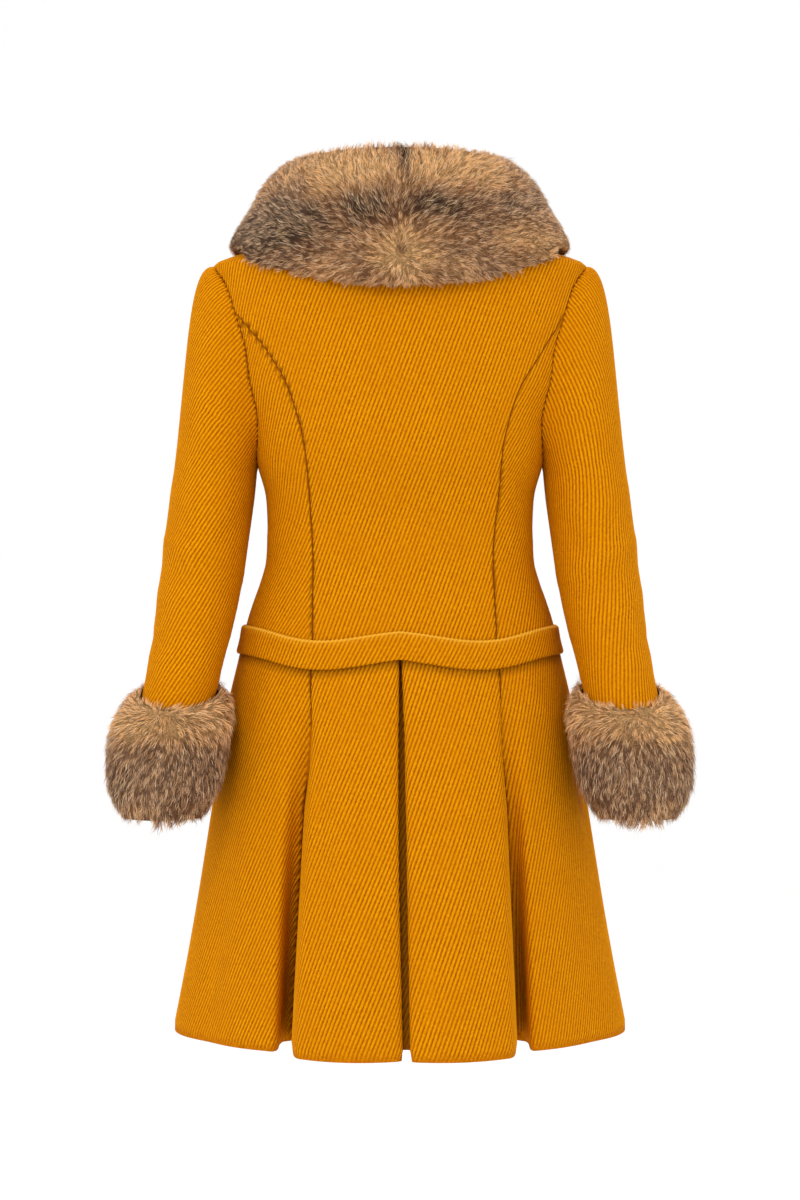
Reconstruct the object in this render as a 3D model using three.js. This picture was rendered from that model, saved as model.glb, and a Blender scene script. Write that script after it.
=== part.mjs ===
// A fitted coat of wide-ribbed cloth with a flared skirt, a fur collar and fur cuffs, filled out
// as it is when worn. Millimetres, +Z up, the front facing -Y, the wearer's left at +X. The origin
// is the centre of the neck opening, level with the points where the shoulder seams meet the neck.
import * as THREE from 'three';

// ------------------------------------------------------------------ driving sizes
const CLOTH = 2.6; // thickness of the cloth
const SEAM_GAP = 0.3; // space between two pieces at a seam
const NECK_DROP = 55; // how far the front neckline dips
const SHOULDER_TIP = -50; // height of the shoulder point, where the armhole starts
const UNDERARM = -254; // height of the armhole's lowest point
const ARMHOLE_HALF_DEPTH = 60; // half the armhole's width from back to front
const ARMHOLE_SQUARENESS = 2.2; // 2 is an ellipse
const PRINCESS_TOP = -104; // where the princess seams leave the armhole
const WAIST_SEAM = -441; // mean height of the seam between bodice and skirt
const WAIST_GAP = 1; // space between bodice and skirt, under the belt
const HEM = -850;
const BELT_WIDTH = 29;
const BELT_THICKNESS = 3;
const FRONT_LAP = 22; // how far each front passes the centre line
const LAP_GAP = 0.7; // between the fronts where they lie on each other
const PLEAT_START = -460; // where the skirt's pleats begin to open
const PLEAT_DEPTH = 80; // depth of the side pleats at the hem
const FLARE = { slit: 31, bulge: 13, pleat: 26 }; // how far the centre back panels stand off
const SLIT_RETURN = 9; // how far the slit's edges turn in
const UNDERLAY_HALF_WIDTH = 39;
const UNDERLAY_HEM = -842;
const BUTTON_RADIUS = 12;
const BUTTON_SEAT = 0.9; // between a button's shank and the front
const BUTTON_HEIGHTS = [-193, -280, -370, -520];

// The outline of the body at each height: half its width, and its depth behind and in front of
// the widest point, whose own place is 'mid'. 'square' is the outline's exponent.
const BODY = [
  { z: -850, half: 238, back: 200, front: 168, mid: -20, square: 2.0 },
  { z: -777, half: 224, back: 194, front: 159, mid: -20, square: 2.0 },
  { z: -714, half: 213, back: 186, front: 151, mid: -20, square: 2.0 },
  { z: -651, half: 203, back: 176, front: 143, mid: -20, square: 2.05 },
  { z: -504, half: 180, back: 142, front: 124, mid: -18, square: 2.1 },
  { z: -462, half: 170, back: 129, front: 118, mid: -14, square: 2.15 },
  { z: -441, half: 165, back: 122, front: 116, mid: -12, square: 2.2 },
  { z: -420, half: 160, back: 115, front: 114, mid: -10, square: 2.2 },
  { z: -399, half: 153, back: 108, front: 112, mid: -7, square: 2.25 },
  { z: -378, half: 145.4, back: 102, front: 109, mid: -4, square: 2.3 },
  { z: -357, half: 140, back: 98, front: 107, mid: 0, square: 2.3 },
  { z: -325, half: 138.6, back: 98, front: 108, mid: 0, square: 2.3 },
  { z: -294, half: 140, back: 105, front: 118, mid: 0, square: 2.3 },
  { z: -254, half: 150, back: 116, front: 130, mid: 0, square: 2.3 },
  { z: -213, half: 156.4, back: 121, front: 128, mid: 0, square: 2.3 },
  { z: -173, half: 170.8, back: 120.5, front: 117, mid: 0, square: 2.3 },
  { z: -142, half: 176.6, back: 118, front: 108, mid: 0, square: 2.3 },
  { z: -99, half: 187, back: 112, front: 98, mid: 0, square: 2.3 },
  { z: -74, half: 190, back: 105, front: 91, mid: 0, square: 2.3 },
  { z: -50, half: 195, back: 98, front: 84, mid: 0, square: 2.3 },
  { z: -38, half: 167, back: 92, front: 79, mid: 0, square: 2.3 },
  { z: -25, half: 136, back: 84, front: 73, mid: 0, square: 2.2 },
  { z: -12, half: 106, back: 74, front: 66, mid: 0, square: 2.1 },
  { z: 0, half: 78, back: 62, front: 58, mid: 0, square: 2.0 },
];

// How far the princess seams lie from the centre line.
const BACK_PRINCESS = [
  { z: -439, left: 87, right: 96.6 },
  { z: -358, left: 89, right: 95.6 },
  { z: -276, left: 93.8, right: 102.7 },
  { z: -251, left: 96.3, right: 104.5 },
  { z: -227, left: 100.8, right: 109 },
  { z: -197, left: 109, right: 117 },
  { z: -173, left: 118.4, right: 128 },
  { z: -152, left: 131, right: 141.5 },
  { z: -134, left: 143.8, right: 152 },
  { z: -119, left: 157, right: 161.5 },
  { z: -104, left: 168.5, right: 168.5 },
];
const FRONT_PRINCESS = [
  { z: -439, left: 92, right: 92 },
  { z: -358, left: 86, right: 86 },
  { z: -300, left: 88, right: 88 },
  { z: -240, left: 95, right: 95 },
  { z: -200, left: 104, right: 104 },
  { z: -160, left: 120, right: 120 },
  { z: -130, left: 140, right: 140 },
  { z: -104, left: 163, right: 163 },
];

// How far the skirt's side pleats, centre slit and front seams lie from the centre line.
const SIDE_PLEAT = [
  { z: -850, left: 100, right: 108 },
  { z: -680, left: 95.5, right: 105.5 },
  { z: -535, left: 92, right: 104 },
  { z: -471, left: 90, right: 101 },
  { z: -441, left: 88, right: 98 },
];
const SLIT = [
  { z: -850, left: -1.5, right: 7.3 },
  { z: -549, left: 1.2, right: 4.2 },
  { z: -441, left: 0.6, right: 0.9 },
];
const SKIRT_FRONT_SEAM = [
  { z: -850, left: 132, right: 132 },
  { z: -620, left: 108, right: 108 },
  { z: -441, left: 92, right: 92 },
];

// The sleeve below the armhole: the centre, half width and half depth of each level ring.
const SLEEVE = [
  { z: -620, x: 242, y: 79, wide: 35.5, deep: 40 },
  { z: -590, x: 241, y: 78, wide: 36, deep: 41 },
  { z: -546, x: 237, y: 74, wide: 36.5, deep: 43 },
  { z: -500, x: 228, y: 63, wide: 37.4, deep: 47 },
  { z: -462, x: 220.6, y: 50, wide: 38.4, deep: 51 },
  { z: -420, x: 213.1, y: 35, wide: 41, deep: 56 },
  { z: -378, x: 207, y: 22, wide: 43, deep: 60 },
  { z: -336, x: 202, y: 13, wide: 43.6, deep: 63 },
  { z: -294, x: 196.9, y: 6, wide: 43.9, deep: 65 },
  { z: -264, x: 193.5, y: 2, wide: 43.2, deep: 66 },
];

// The heights at which the sleeve and the cuff round it have their rings.
const CUFF_RINGS = [-486, -520, -560, -600, -620];

// How far the cuff's fur stands off the sleeve at each height, from its top edge to its hem.
const CUFF = [
  { z: -486, out: 3 },
  { z: -491, out: 14 },
  { z: -502, out: 22 },
  { z: -520, out: 27.5 },
  { z: -546, out: 29 },
  { z: -575, out: 28 },
  { z: -600, out: 24 },
  { z: -616, out: 18 },
  { z: -625, out: 9 },
  { z: -627, out: 3 },
];
const CUFF_HEM = -627;
const CUFF_TILT = 0.36; // how far its upper edge drops, per mm towards the back
const CUFF_CLEARANCE = 1.7; // between the cuff and the sleeve inside it

// The collar's outer surface as rings round the neck, from the lower edge up over the roll and
// down inside it: half width, reach behind and in front, and height at the side, back and front.
const COLLAR = [
  { half: 176, back: 136, front: 127, zSide: -36, zBack: -78, zFront: -142 },
  { half: 179, back: 143, front: 130, zSide: -27, zBack: -58, zFront: -114 },
  { half: 172, back: 142, front: 127, zSide: -9, zBack: -28, zFront: -76 },
  { half: 161, back: 134, front: 118, zSide: 8, zBack: 4, zFront: -36 },
  { half: 147, back: 120, front: 107, zSide: 33, zBack: 34, zFront: -5 },
  { half: 128, back: 104, front: 96, zSide: 53, zBack: 56, zFront: 17 },
  { half: 106, back: 90, front: 86, zSide: 64, zBack: 67, zFront: 28 },
  { half: 85, back: 76, front: 74, zSide: 62, zBack: 65, zFront: 25 },
  { half: 72, back: 62, front: 63, zSide: 40, zBack: 46, zFront: 4 },
  { half: 71, back: 56, front: 58, zSide: 16, zBack: 18, zFront: -26 },
];
const COLLAR_SQUARENESS = 2.15;
const COLLAR_EDGE = { side: -38, back: -84, front: -150 }; // heights of its lower edge
const COLLAR_END = 2.6; // degrees from the centre front to each end of the collar
const COLLAR_RIM_CLEARANCE = 0.8; // between its base and the neckline
const COLLAR_CLEARANCE = 3.8; // between the collar's underside and the shoulders
const COLLAR_SHOULDER_CLEARANCE = 5.5; // added towards the shoulder tips

// Soft folds that open towards the hem: their angle from the centre back, spread and height.
const SKIRT_FOLDS = [
  { angle: 57, spread: 10, height: -5 },
  { angle: 80, spread: 9, height: 1 },
  { angle: 108, spread: 12, height: 5 },
  { angle: 131, spread: 10, height: -6 },
  { angle: 152, spread: 10, height: 6 },
];

const COLOURS = {
  cloth: 0xd9900f,
  fur: 0x9a7040,
  button: 0x5a3512,
};

// ------------------------------------------------------------------ small helpers
const RADIANS = Math.PI / 180;

/** A number held between two others. */
function clamp(value, low, high) {
  return Math.min(high, Math.max(low, value));
}

/** 0 below 'low', 1 above 'high' and a smooth rise between them. */
function smoothRise(value, low, high) {
  const part = clamp((value - low) / (high - low), 0, 1);
  return part * part * (3 - 2 * part);
}

/** Evenly spaced numbers from one value to another, both included. */
function spaced(from, to, steps) {
  return Array.from({ length: steps + 1 }, (_, i) => from + ((to - from) * i) / steps);
}

/** A power that keeps the sign of its base. */
function signedPower(base, exponent) {
  return Math.sign(base) * Math.abs(base) ** exponent;
}

/** The function that runs smoothly through one column of a table, without overshoot. */
function curveOf(rows, from, to) {
  const xs = rows.map((row) => row[from]);
  const ys = rows.map((row) => row[to]);
  const rises = xs.slice(1).map((x, i) => (ys[i + 1] - ys[i]) / (x - xs[i]));
  const tangents = xs.map((_, i) => {
    const before = rises[Math.max(i - 1, 0)];
    const after = rises[Math.min(i, rises.length - 1)];
    return before * after <= 0 ? 0 : (2 * before * after) / (before + after);
  });
  return (x) => {
    let i = xs.findIndex((edge) => edge >= x) - 1;
    i = i < -1 ? xs.length - 2 : clamp(i, 0, xs.length - 2);
    const width = xs[i + 1] - xs[i];
    const t = (clamp(x, xs[0], xs[xs.length - 1]) - xs[i]) / width;
    const hermite = (2 * t ** 3 - 3 * t ** 2 + 1) * ys[i]
      + (t ** 3 - 2 * t ** 2 + t) * width * tangents[i]
      + (3 * t ** 2 - 2 * t ** 3) * ys[i + 1]
      + (t ** 3 - t ** 2) * width * tangents[i + 1];
    return hermite;
  };
}

/** The left and right curves of a seam's table. */
function seamOf(rows) {
  return { left: curveOf(rows, 'z', 'left'), right: curveOf(rows, 'z', 'right') };
}

// ------------------------------------------------------------------ the coat's surface
const body = Object.fromEntries(
  ['half', 'back', 'front', 'mid', 'square'].map((column) => [column, curveOf(BODY, 'z', column)]),
);
const seams = {
  backPrincess: seamOf(BACK_PRINCESS),
  frontPrincess: seamOf(FRONT_PRINCESS),
  sidePleat: seamOf(SIDE_PLEAT),
  slit: seamOf(SLIT),
  skirtFront: seamOf(SKIRT_FRONT_SEAM),
};

/** How far the waist seam rises or falls from its mean height at an angle. */
function waistWave(angle) {
  const DIP = 15;
  const DIP_ANGLE = 27;
  const DIP_SPREAD = 26;
  const turned = Math.abs(Math.atan2(Math.sin(angle), Math.cos(angle))) / RADIANS;
  return 1 - DIP * Math.exp(-(((turned - DIP_ANGLE) / DIP_SPREAD) ** 2));
}

/** How far open the skirt's pleats and folds are at a height: 0 at the waist, 1 at the hem. */
function openness(z) {
  return clamp((PLEAT_START - z) / (PLEAT_START - HEM), 0, 1) ** 1.3;
}

/** A point on the smooth body outline. The angle is 0 at the back and grows towards +X. */
function outlinePoint(angle, z) {
  const power = 2 / body.square(z);
  const depth = Math.cos(angle) >= 0 ? body.back(z) : body.front(z);
  const x = body.half(z) * signedPower(Math.sin(angle), power);
  const y = body.mid(z) + depth * signedPower(Math.cos(angle), power);
  return new THREE.Vector3(x, y, z);
}

/** The angle at which the outline lies x from the centre line, behind or in front. */
function angleAt(x, z, inFront = false) {
  const sine = signedPower(clamp(x / body.half(z), -1, 1), body.square(z) / 2);
  const angle = Math.asin(sine);
  return inFront ? Math.PI - angle : angle;
}

/** The level unit vector that points out of the outline at an angle. */
function outward(angle, z) {
  const step = 0.01;
  const along = outlinePoint(angle + step, z).sub(outlinePoint(angle - step, z));
  return new THREE.Vector3(-along.y, along.x, 0).normalize();
}

/** How far the skirt's soft folds stand out at an angle and height. */
function foldHeight(angle, z) {
  const turned = Math.abs(Math.atan2(Math.sin(angle), Math.cos(angle))) / RADIANS;
  const bump = (fold) => fold.height * Math.exp(-(((turned - fold.angle) / fold.spread) ** 2));
  return openness(z) * SKIRT_FOLDS.reduce((sum, fold) => sum + bump(fold), 0);
}

/** A point on the coat's cloth, 'out' mm outside it. The waist seam's wave bends the rows. */
function coatPoint(angle, z, out = 0) {
  const nearWaist = 1 - smoothRise(Math.abs(z - WAIST_SEAM), 20, 90);
  const height = z + waistWave(angle) * nearWaist;
  const reach = out + foldHeight(angle, z);
  return outlinePoint(angle, height).addScaledVector(outward(angle, height), reach);
}

/** The angle moved along the coat's surface by a distance in mm. */
function slide(angle, z, distance) {
  const step = 0.01;
  const run = coatPoint(angle + step, z).distanceTo(coatPoint(angle - step, z));
  return angle + (distance * 2 * step) / run;
}

/** Half the armhole's depth at a height. */
function armholeDepth(z) {
  const middle = (SHOULDER_TIP + UNDERARM) / 2;
  const reach = Math.abs((z - middle) / ((SHOULDER_TIP - UNDERARM) / 2));
  const rest = Math.max(0, 1 - reach ** ARMHOLE_SQUARENESS);
  return ARMHOLE_HALF_DEPTH * rest ** (1 / ARMHOLE_SQUARENESS);
}

/** The angle of the armhole's edge, or of the shoulder and side seams beyond it. */
function sideEdge(z, inFront) {
  if (z >= SHOULDER_TIP || z <= UNDERARM) return Math.PI / 2;
  const depth = inFront ? body.front(z) : body.back(z);
  const angle = Math.acos((armholeDepth(z) / depth) ** (body.square(z) / 2));
  return inFront ? Math.PI - angle : angle;
}

// ------------------------------------------------------------------ closed solids
/** A closed solid through rings of equal length. Open lofts are capped by 'capFaces'. */
function loft(rings, capFaces = null, mirrored = false) {
  const count = rings[0].length;
  const positions = rings.flat().flatMap((p) => [mirrored ? -p.x : p.x, p.y, p.z]);
  const faces = [];
  const last = capFaces ? rings.length - 1 : rings.length;
  for (let ring = 0; ring < last; ring += 1) {
    const next = (ring + 1) % rings.length;
    for (let i = 0; i < count; i += 1) {
      const j = (i + 1) % count;
      const [a, b] = [ring * count + i, ring * count + j];
      const [c, d] = [next * count + j, next * count + i];
      faces.push([a, b, c], [a, c, d]);
    }
  }
  if (capFaces) {
    const end = (rings.length - 1) * count;
    capFaces.forEach(([a, b, c]) => faces.push([c, b, a], [end + a, end + b, end + c]));
  }
  const geometry = new THREE.BufferGeometry();
  geometry.setAttribute('position', new THREE.Float32BufferAttribute(positions, 3));
  const outwardFaces = signedVolume(positions, faces) > 0 ? faces : faces.map((f) => f.reverse());
  geometry.setIndex(outwardFaces.flat());
  geometry.computeVertexNormals();
  return geometry;
}

/** Six times the volume that the faces enclose, negative when they point inwards. */
function signedVolume(positions, faces) {
  const at = (i) => new THREE.Vector3().fromArray(positions, i * 3);
  return faces.reduce((sum, [a, b, c]) => sum + at(a).dot(at(b).cross(at(c))), 0);
}

/** The faces that close the end of a thin wall: a strip between its two sides. */
function stripFaces(count) {
  const faces = [];
  for (let i = 0; i < count - 1; i += 1) {
    const [far, near] = [2 * count - 1 - i, 2 * count - 2 - i];
    faces.push([i, i + 1, near], [i, near, far]);
  }
  return faces;
}

/** The faces that fill a flat outline, wound the same way as the outline. */
function capOf(outline) {
  const faces = THREE.ShapeUtils.triangulateShape(outline, []);
  const turn = THREE.ShapeUtils.area(outline) * THREE.ShapeUtils.area(faces[0].map((i) => outline[i]));
  return turn > 0 ? faces : faces.map((face) => face.reverse());
}

/** The unit normal of a surface given by a function of two numbers. */
function normalOf(pointAt, u, z) {
  const across = pointAt(u + 0.004, z).sub(pointAt(u - 0.004, z));
  const up = pointAt(u, z + 0.4).sub(pointAt(u, z - 0.4));
  return up.cross(across).normalize();
}

/** A wall of cloth: 'pointAt(u, z)' is its outer side, and u runs with the angle. */
function clothWall(us, zs, pointAt, mirrored = false, thickness = CLOTH) {
  const rings = us.map((u) => {
    const outer = zs.map((z) => pointAt(u, z));
    const inner = zs.map((z, row) => {
      const normal = normalOf(pointAt, u, z);
      // The top and bottom edges are cut level, so that the pieces above and below stay clear.
      if (row === 0 || row === zs.length - 1) normal.setZ(0).normalize();
      return pointAt(u, z).addScaledVector(normal, -thickness);
    });
    return [...outer, ...inner.reverse()];
  });
  return loft(rings, stripFaces(zs.length), mirrored);
}

const coat = new THREE.Group();

/** Adds a named piece to the coat. */
function addPiece(name, geometry, colour, roughness = 0.9) {
  const material = new THREE.MeshStandardMaterial({ color: colour, roughness, metalness: 0 });
  const piece = new THREE.Mesh(geometry, material);
  piece.name = name;
  coat.add(piece);
  return piece;
}

// ------------------------------------------------------------------ the bodice
const SHOULDER_ROWS = [0, -16, -33, -50];
const ARMHOLE_ROWS = [-50, -54, -66, -84, PRINCESS_TOP, -112, -130, -160, -193, -222, -243, -254];
const WAIST_ROWS = [-280, -310, -340, -370, -400, -424, WAIST_SEAM + WAIST_GAP / 2];
const BODICE_ROWS = [...SHOULDER_ROWS, ...ARMHOLE_ROWS.slice(1), ...WAIST_ROWS];
const SIDE_PANEL_ROWS = BODICE_ROWS.filter((z) => z < PRINCESS_TOP);

/** The outer edge of a centre panel: shoulder and armhole above, princess seam below. */
function centrePanelEdge(z, side, inFront) {
  if (z >= PRINCESS_TOP) return sideEdge(z, inFront);
  const seam = inFront ? seams.frontPrincess : seams.backPrincess;
  return angleAt(seam[side](z), z, inFront);
}

/** The centre back, in one piece from neck to waist. */
function backCentre() {
  const pointAt = (u, z) => {
    const right = slide(-centrePanelEdge(z, 'right', false), z, SEAM_GAP / 2);
    const left = slide(centrePanelEdge(z, 'left', false), z, -SEAM_GAP / 2);
    return coatPoint(right + (left - right) * u, z);
  };
  return clothWall(spaced(0, 1, 16), BODICE_ROWS, pointAt);
}

/** A side panel of the bodice, from its princess seam to the side seam. */
function bodiceSide(side, inFront) {
  const pointAt = (u, z) => {
    const inner = centrePanelEdge(z, side, inFront);
    const outer = sideEdge(z, inFront);
    const start = slide(Math.min(inner, outer), z, SEAM_GAP / 2);
    const end = slide(Math.max(inner, outer), z, -SEAM_GAP / 2);
    return coatPoint(start + (end - start) * u, z);
  };
  return clothWall(spaced(0, 1, 7), SIDE_PANEL_ROWS, pointAt, side === 'right');
}

/** The height of a row on the fronts, where the neckline dips towards the centre. */
function frontRow(z, angle) {
  const dip = NECK_DROP * smoothRise(angle / RADIANS, 120, 180);
  const share = clamp(1 - z / PRINCESS_TOP, 0, 1);
  return z - dip * share;
}

/** How far the upper front stands out where it lies over the lower one. */
function lapHeight(x, side) {
  const full = FRONT_LAP + 14;
  return side === 'right' ? (CLOTH + LAP_GAP) * (1 - smoothRise(x, full, full + 26)) : 0;
}

/** A front of the bodice or skirt, from its outer seam to past the centre line. */
function frontPanel(side, rows, edgeAt) {
  const pointAt = (u, z) => {
    const start = slide(edgeAt(z), z, SEAM_GAP / 2);
    const end = Math.PI + angleAt(FRONT_LAP, frontRow(z, Math.PI));
    const angle = start + (end - start) * u;
    const height = frontRow(z, angle);
    return coatPoint(angle, height, lapHeight(coatPoint(angle, height).x, side));
  };
  return clothWall(spaced(0, 1, 12), rows, pointAt, side === 'right');
}

addPiece('back_centre', backCentre(), COLOURS.cloth);
for (const side of ['left', 'right']) {
  addPiece(`back_side_${side}`, bodiceSide(side, false), COLOURS.cloth);
  addPiece(`front_side_${side}`, bodiceSide(side, true), COLOURS.cloth);
  const edgeAt = (z) => centrePanelEdge(z, side, true);
  addPiece(`front_${side}`, frontPanel(side, BODICE_ROWS, edgeAt), COLOURS.cloth);
}

// ------------------------------------------------------------------ the skirt
const SKIRT_TOP = WAIST_SEAM - WAIST_GAP / 2;
const SKIRT_ROWS = [SKIRT_TOP, -458, -485, -520, -570, -630, -700, -775, HEM];

/** How far a centre back panel flares out of the skirt's outline. */
function flare(x, z, side) {
  const part = clamp(Math.abs(x) / seams.sidePleat[side](z), 0, 1);
  return openness(z) * (FLARE.slit + FLARE.bulge * Math.sin(Math.PI * part)
    + (FLARE.pleat - FLARE.slit) * part);
}

/** A point on a centre back panel's flared face. */
function flaredPoint(angle, z, side, out = 0) {
  const x = outlinePoint(angle, z).x;
  return coatPoint(angle, z, flare(x, z, side) + out);
}

/** The level tangent and normal of a centre back panel at an angle. */
function flaredFrame(angle, z, side) {
  const step = 0.01;
  const ahead = flaredPoint(angle + step, z, side);
  const along = ahead.sub(flaredPoint(angle - step, z, side)).setZ(0).normalize();
  return { along, out: new THREE.Vector3(-along.y, along.x, 0) };
}

/** A point of a cubic curve through four corners, given as pairs. */
function bezierPair(corners, t) {
  const [a, b, c, d] = corners.map((corner) => new THREE.Vector2(...corner));
  return new THREE.CubicBezierCurve(a, b, c, d).getPoint(t);
}

/** A side pleat: its edge, its depth and the way that it runs in: straight when it opens. */
function pleatFold(z, side) {
  const angle = angleAt(seams.sidePleat[side](z), z);
  const edge = flaredPoint(angle, z, side);
  const depth = openness(z) * PLEAT_DEPTH + flare(seams.sidePleat[side](z), z, side);
  const straight = smoothRise(openness(z), 0.02, 0.3);
  const along = flaredFrame(angle, z, side).along.lerp(new THREE.Vector3(1, 0, 0), straight)
    .normalize();
  const frame = { along, out: new THREE.Vector3(-along.y, along.x, 0) };
  return { angle, frame, edge, depth };
}

const SLIT_ROLL = 8; // the stretch over which the slit's edge rolls in
const PLEAT_ROLL = 12; // the same at the side pleat

/** A point on a centre back panel: its slit edge (u 0-1), its face (1-2), its pleat (2-3). */
function centreSkirtPoint(u, z, side) {
  const slitAngle = angleAt(seams.slit[side](z), z);
  const fold = pleatFold(z, side);
  if (u < 1) {
    const frame = flaredFrame(slitAngle, z, side);
    const roll = [[0, SLIT_RETURN], [0, 4], [2, 0], [SLIT_ROLL, 0]];
    const place = bezierPair(roll, u);
    return flaredPoint(slide(slitAngle, z, place.x), z, side).addScaledVector(frame.out, -place.y);
  }
  if (u > 2) {
    const turn = Math.min(0.3 * fold.depth, 16);
    const roll = [[-PLEAT_ROLL, 0], [-3, 0], [0, turn], [0, fold.depth]];
    const place = bezierPair(roll, u - 2);
    return flaredPoint(slide(fold.angle, z, place.x), z, side)
      .addScaledVector(fold.frame.out, -place.y);
  }
  const start = slide(slitAngle, z, SLIT_ROLL);
  const end = slide(fold.angle, z, -PLEAT_ROLL);
  return flaredPoint(start + (end - start) * (u - 1), z, side);
}

/** A point on a side panel: the fold that tucks under (u 0-1), then its face (1-2). */
function sideSkirtPoint(u, z, side) {
  const TUCK = 36;
  const fold = pleatFold(z, side);
  const open = openness(z);
  const faceStart = slide(fold.angle, z, TUCK);
  if (u < 1) {
    const start = fold.edge.clone()
      .addScaledVector(fold.frame.along, SEAM_GAP + 0.1)
      .addScaledVector(fold.frame.out, -fold.depth);
    const end = coatPoint(faceStart, z);
    const leave = 11 + 11 * open;
    const arrive = 13 + 13 * open;
    const endAlong = coatPoint(faceStart + 0.02, z).sub(end).setZ(0).normalize();
    const from = start.clone().addScaledVector(fold.frame.along, leave);
    const to = end.clone().addScaledVector(endAlong, -arrive);
    const level = coatPoint(slide(fold.angle, z, TUCK * u), z).z;
    return new THREE.CubicBezierCurve3(start, from, to, end).getPoint(u).setZ(level);
  }
  const seamAngle = angleAt(seams.skirtFront[side](z), z, true);
  const end = slide(seamAngle, z, -SEAM_GAP / 2);
  return coatPoint(faceStart + (end - faceStart) * (u - 1), z);
}

/** The underlay behind the slit: it meets the panels at its sides and hollows between them. */
function pleatUnderlay() {
  const HOLLOW = 12;
  const rows = SKIRT_ROWS.map((z) => Math.max(z, UNDERLAY_HEM));
  const pointAt = (u, z) => {
    const reach = angleAt(UNDERLAY_HALF_WIDTH, z);
    const angle = reach * (2 * u - 1);
    const side = u < 0.5 ? 'right' : 'left';
    const hollow = HOLLOW * Math.cos((u - 0.5) * Math.PI) ** 1.5;
    return flaredPoint(angle, z, side, -(CLOTH + 0.8 + hollow));
  };
  return clothWall(spaced(0.02, 0.98, 9), rows, pointAt);
}

const CENTRE_PANEL_STEPS = [...spaced(0, 1, 4), ...spaced(1, 2, 8).slice(1),
  ...spaced(2, 3, 6).slice(1)];
const SIDE_SKIRT_STEPS = [...spaced(0, 1, 8), ...spaced(1, 2, 16).slice(1)];
for (const side of ['left', 'right']) {
  const mirrored = side === 'right';
  const centrePoint = (u, z) => centreSkirtPoint(u, z, side);
  addPiece(`skirt_back_${side}`,
    clothWall(CENTRE_PANEL_STEPS, SKIRT_ROWS, centrePoint, mirrored), COLOURS.cloth);
  const sidePoint = (u, z) => sideSkirtPoint(u, z, side);
  addPiece(`skirt_side_${side}`,
    clothWall(SIDE_SKIRT_STEPS, SKIRT_ROWS, sidePoint, mirrored), COLOURS.cloth);
  const edgeAt = (z) => angleAt(seams.skirtFront[side](z), z, true);
  addPiece(`skirt_front_${side}`, frontPanel(side, SKIRT_ROWS, edgeAt), COLOURS.cloth);
}
addPiece('skirt_pleat_underlay', pleatUnderlay(), COLOURS.cloth);

// ------------------------------------------------------------------ the belt
/** The belt: a band with rounded edges from one side of the front opening round to the other. */
function belt() {
  const half = BELT_WIDTH / 2;
  const rim = BELT_THICKNESS / 2;
  const section = [[-half, 0], [half, 0], [half + 0.6, rim], [half, BELT_THICKNESS],
    [-half, BELT_THICKNESS], [-half - 0.6, rim]];
  const start = angleAt(FRONT_LAP + 1, WAIST_SEAM) - Math.PI;
  const end = angleAt(FRONT_LAP - 0.5, WAIST_SEAM) + Math.PI;
  const rings = spaced(0, 1, 72).map((u) => {
    // Angles run the other way round, so that the lapped front is the wearer's right one.
    const angle = -(start + (end - start) * u);
    const x = coatPoint(angle, WAIST_SEAM).x;
    const lap = u > 0.5 && Math.cos(angle) < 0 ? lapHeight(-x, 'right') : 0;
    return section.map(([rise, out]) => coatPoint(angle, WAIST_SEAM + rise, 0.7 + lap + out));
  });
  const contour = section.map(([rise, out]) => new THREE.Vector2(out, rise));
  return loft(rings, capOf(contour));
}
addPiece('belt', belt(), COLOURS.cloth);

// ------------------------------------------------------------------ sleeves and cuffs
const sleeve = Object.fromEntries(
  ['x', 'y', 'wide', 'deep'].map((column) => [column, curveOf(SLEEVE, 'z', column)]),
);

/** The armhole's edge, as points that run down the back and up the front. */
function armholeRing() {
  const backs = ARMHOLE_ROWS.map((z) => coatPoint(sideEdge(z, false), z));
  const fronts = ARMHOLE_ROWS.slice(1, -1).reverse().map((z) => coatPoint(sideEdge(z, true), z));
  return [...backs, ...fronts];
}

/** The level ring of the sleeve at a height, 'out' mm outside the cloth. */
function sleeveRing(z, turns, out = 0) {
  return turns.map((turn) => new THREE.Vector3(
    sleeve.x(z) + (sleeve.wide(z) + out) * Math.cos(turn),
    sleeve.y(z) + (sleeve.deep(z) + out) * Math.sin(turn),
    z,
  ));
}

/** The turn, round the sleeve, of each of the armhole's points: 0 is the outside, 90 the back. */
function sleeveTurns(ring) {
  const middle = (SHOULDER_TIP + UNDERARM) / 2;
  const half = (SHOULDER_TIP - UNDERARM) / 2;
  return ring.map((p) => Math.atan2(p.y / ARMHOLE_HALF_DEPTH, (p.z - middle) / half));
}

/** A sleeve: a cap that leaves the armhole and rounds over, then a tube down to the cuff. */
function sleeveSolid(mirrored) {
  const armhole = armholeRing();
  const turns = sleeveTurns(armhole);
  const topRing = sleeveRing(SLEEVE[SLEEVE.length - 1].z, turns);
  const capSteps = [0, 0.08, 0.19, 0.34, 0.52, 0.75];
  const lower = [-264, -300, -345, -390, -437, ...CUFF_RINGS];
  const rings = capSteps.map((step) => armhole.map((start, i) => {
    const end = topRing[i];
    const drop = start.distanceTo(end);
    const upper = 0.5 + 0.5 * Math.cos(turns[i]);
    const leave = new THREE.Vector3(1, 0, 0.25 * upper - 0.9 * (1 - upper)).normalize();
    const from = start.clone().addScaledVector(leave, drop * (0.1 + 0.03 * upper));
    const to = end.clone().add(new THREE.Vector3(-0.11, 0, 1).multiplyScalar(drop * 0.6));
    const place = new THREE.CubicBezierCurve3(start, from, to, end).getPoint(step);
    return place.add(new THREE.Vector3(SEAM_GAP + 0.1, 0, 0));
  }));
  lower.forEach((z) => rings.push(sleeveRing(z, turns)));
  return tubeWall(rings, mirrored);
}

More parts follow.
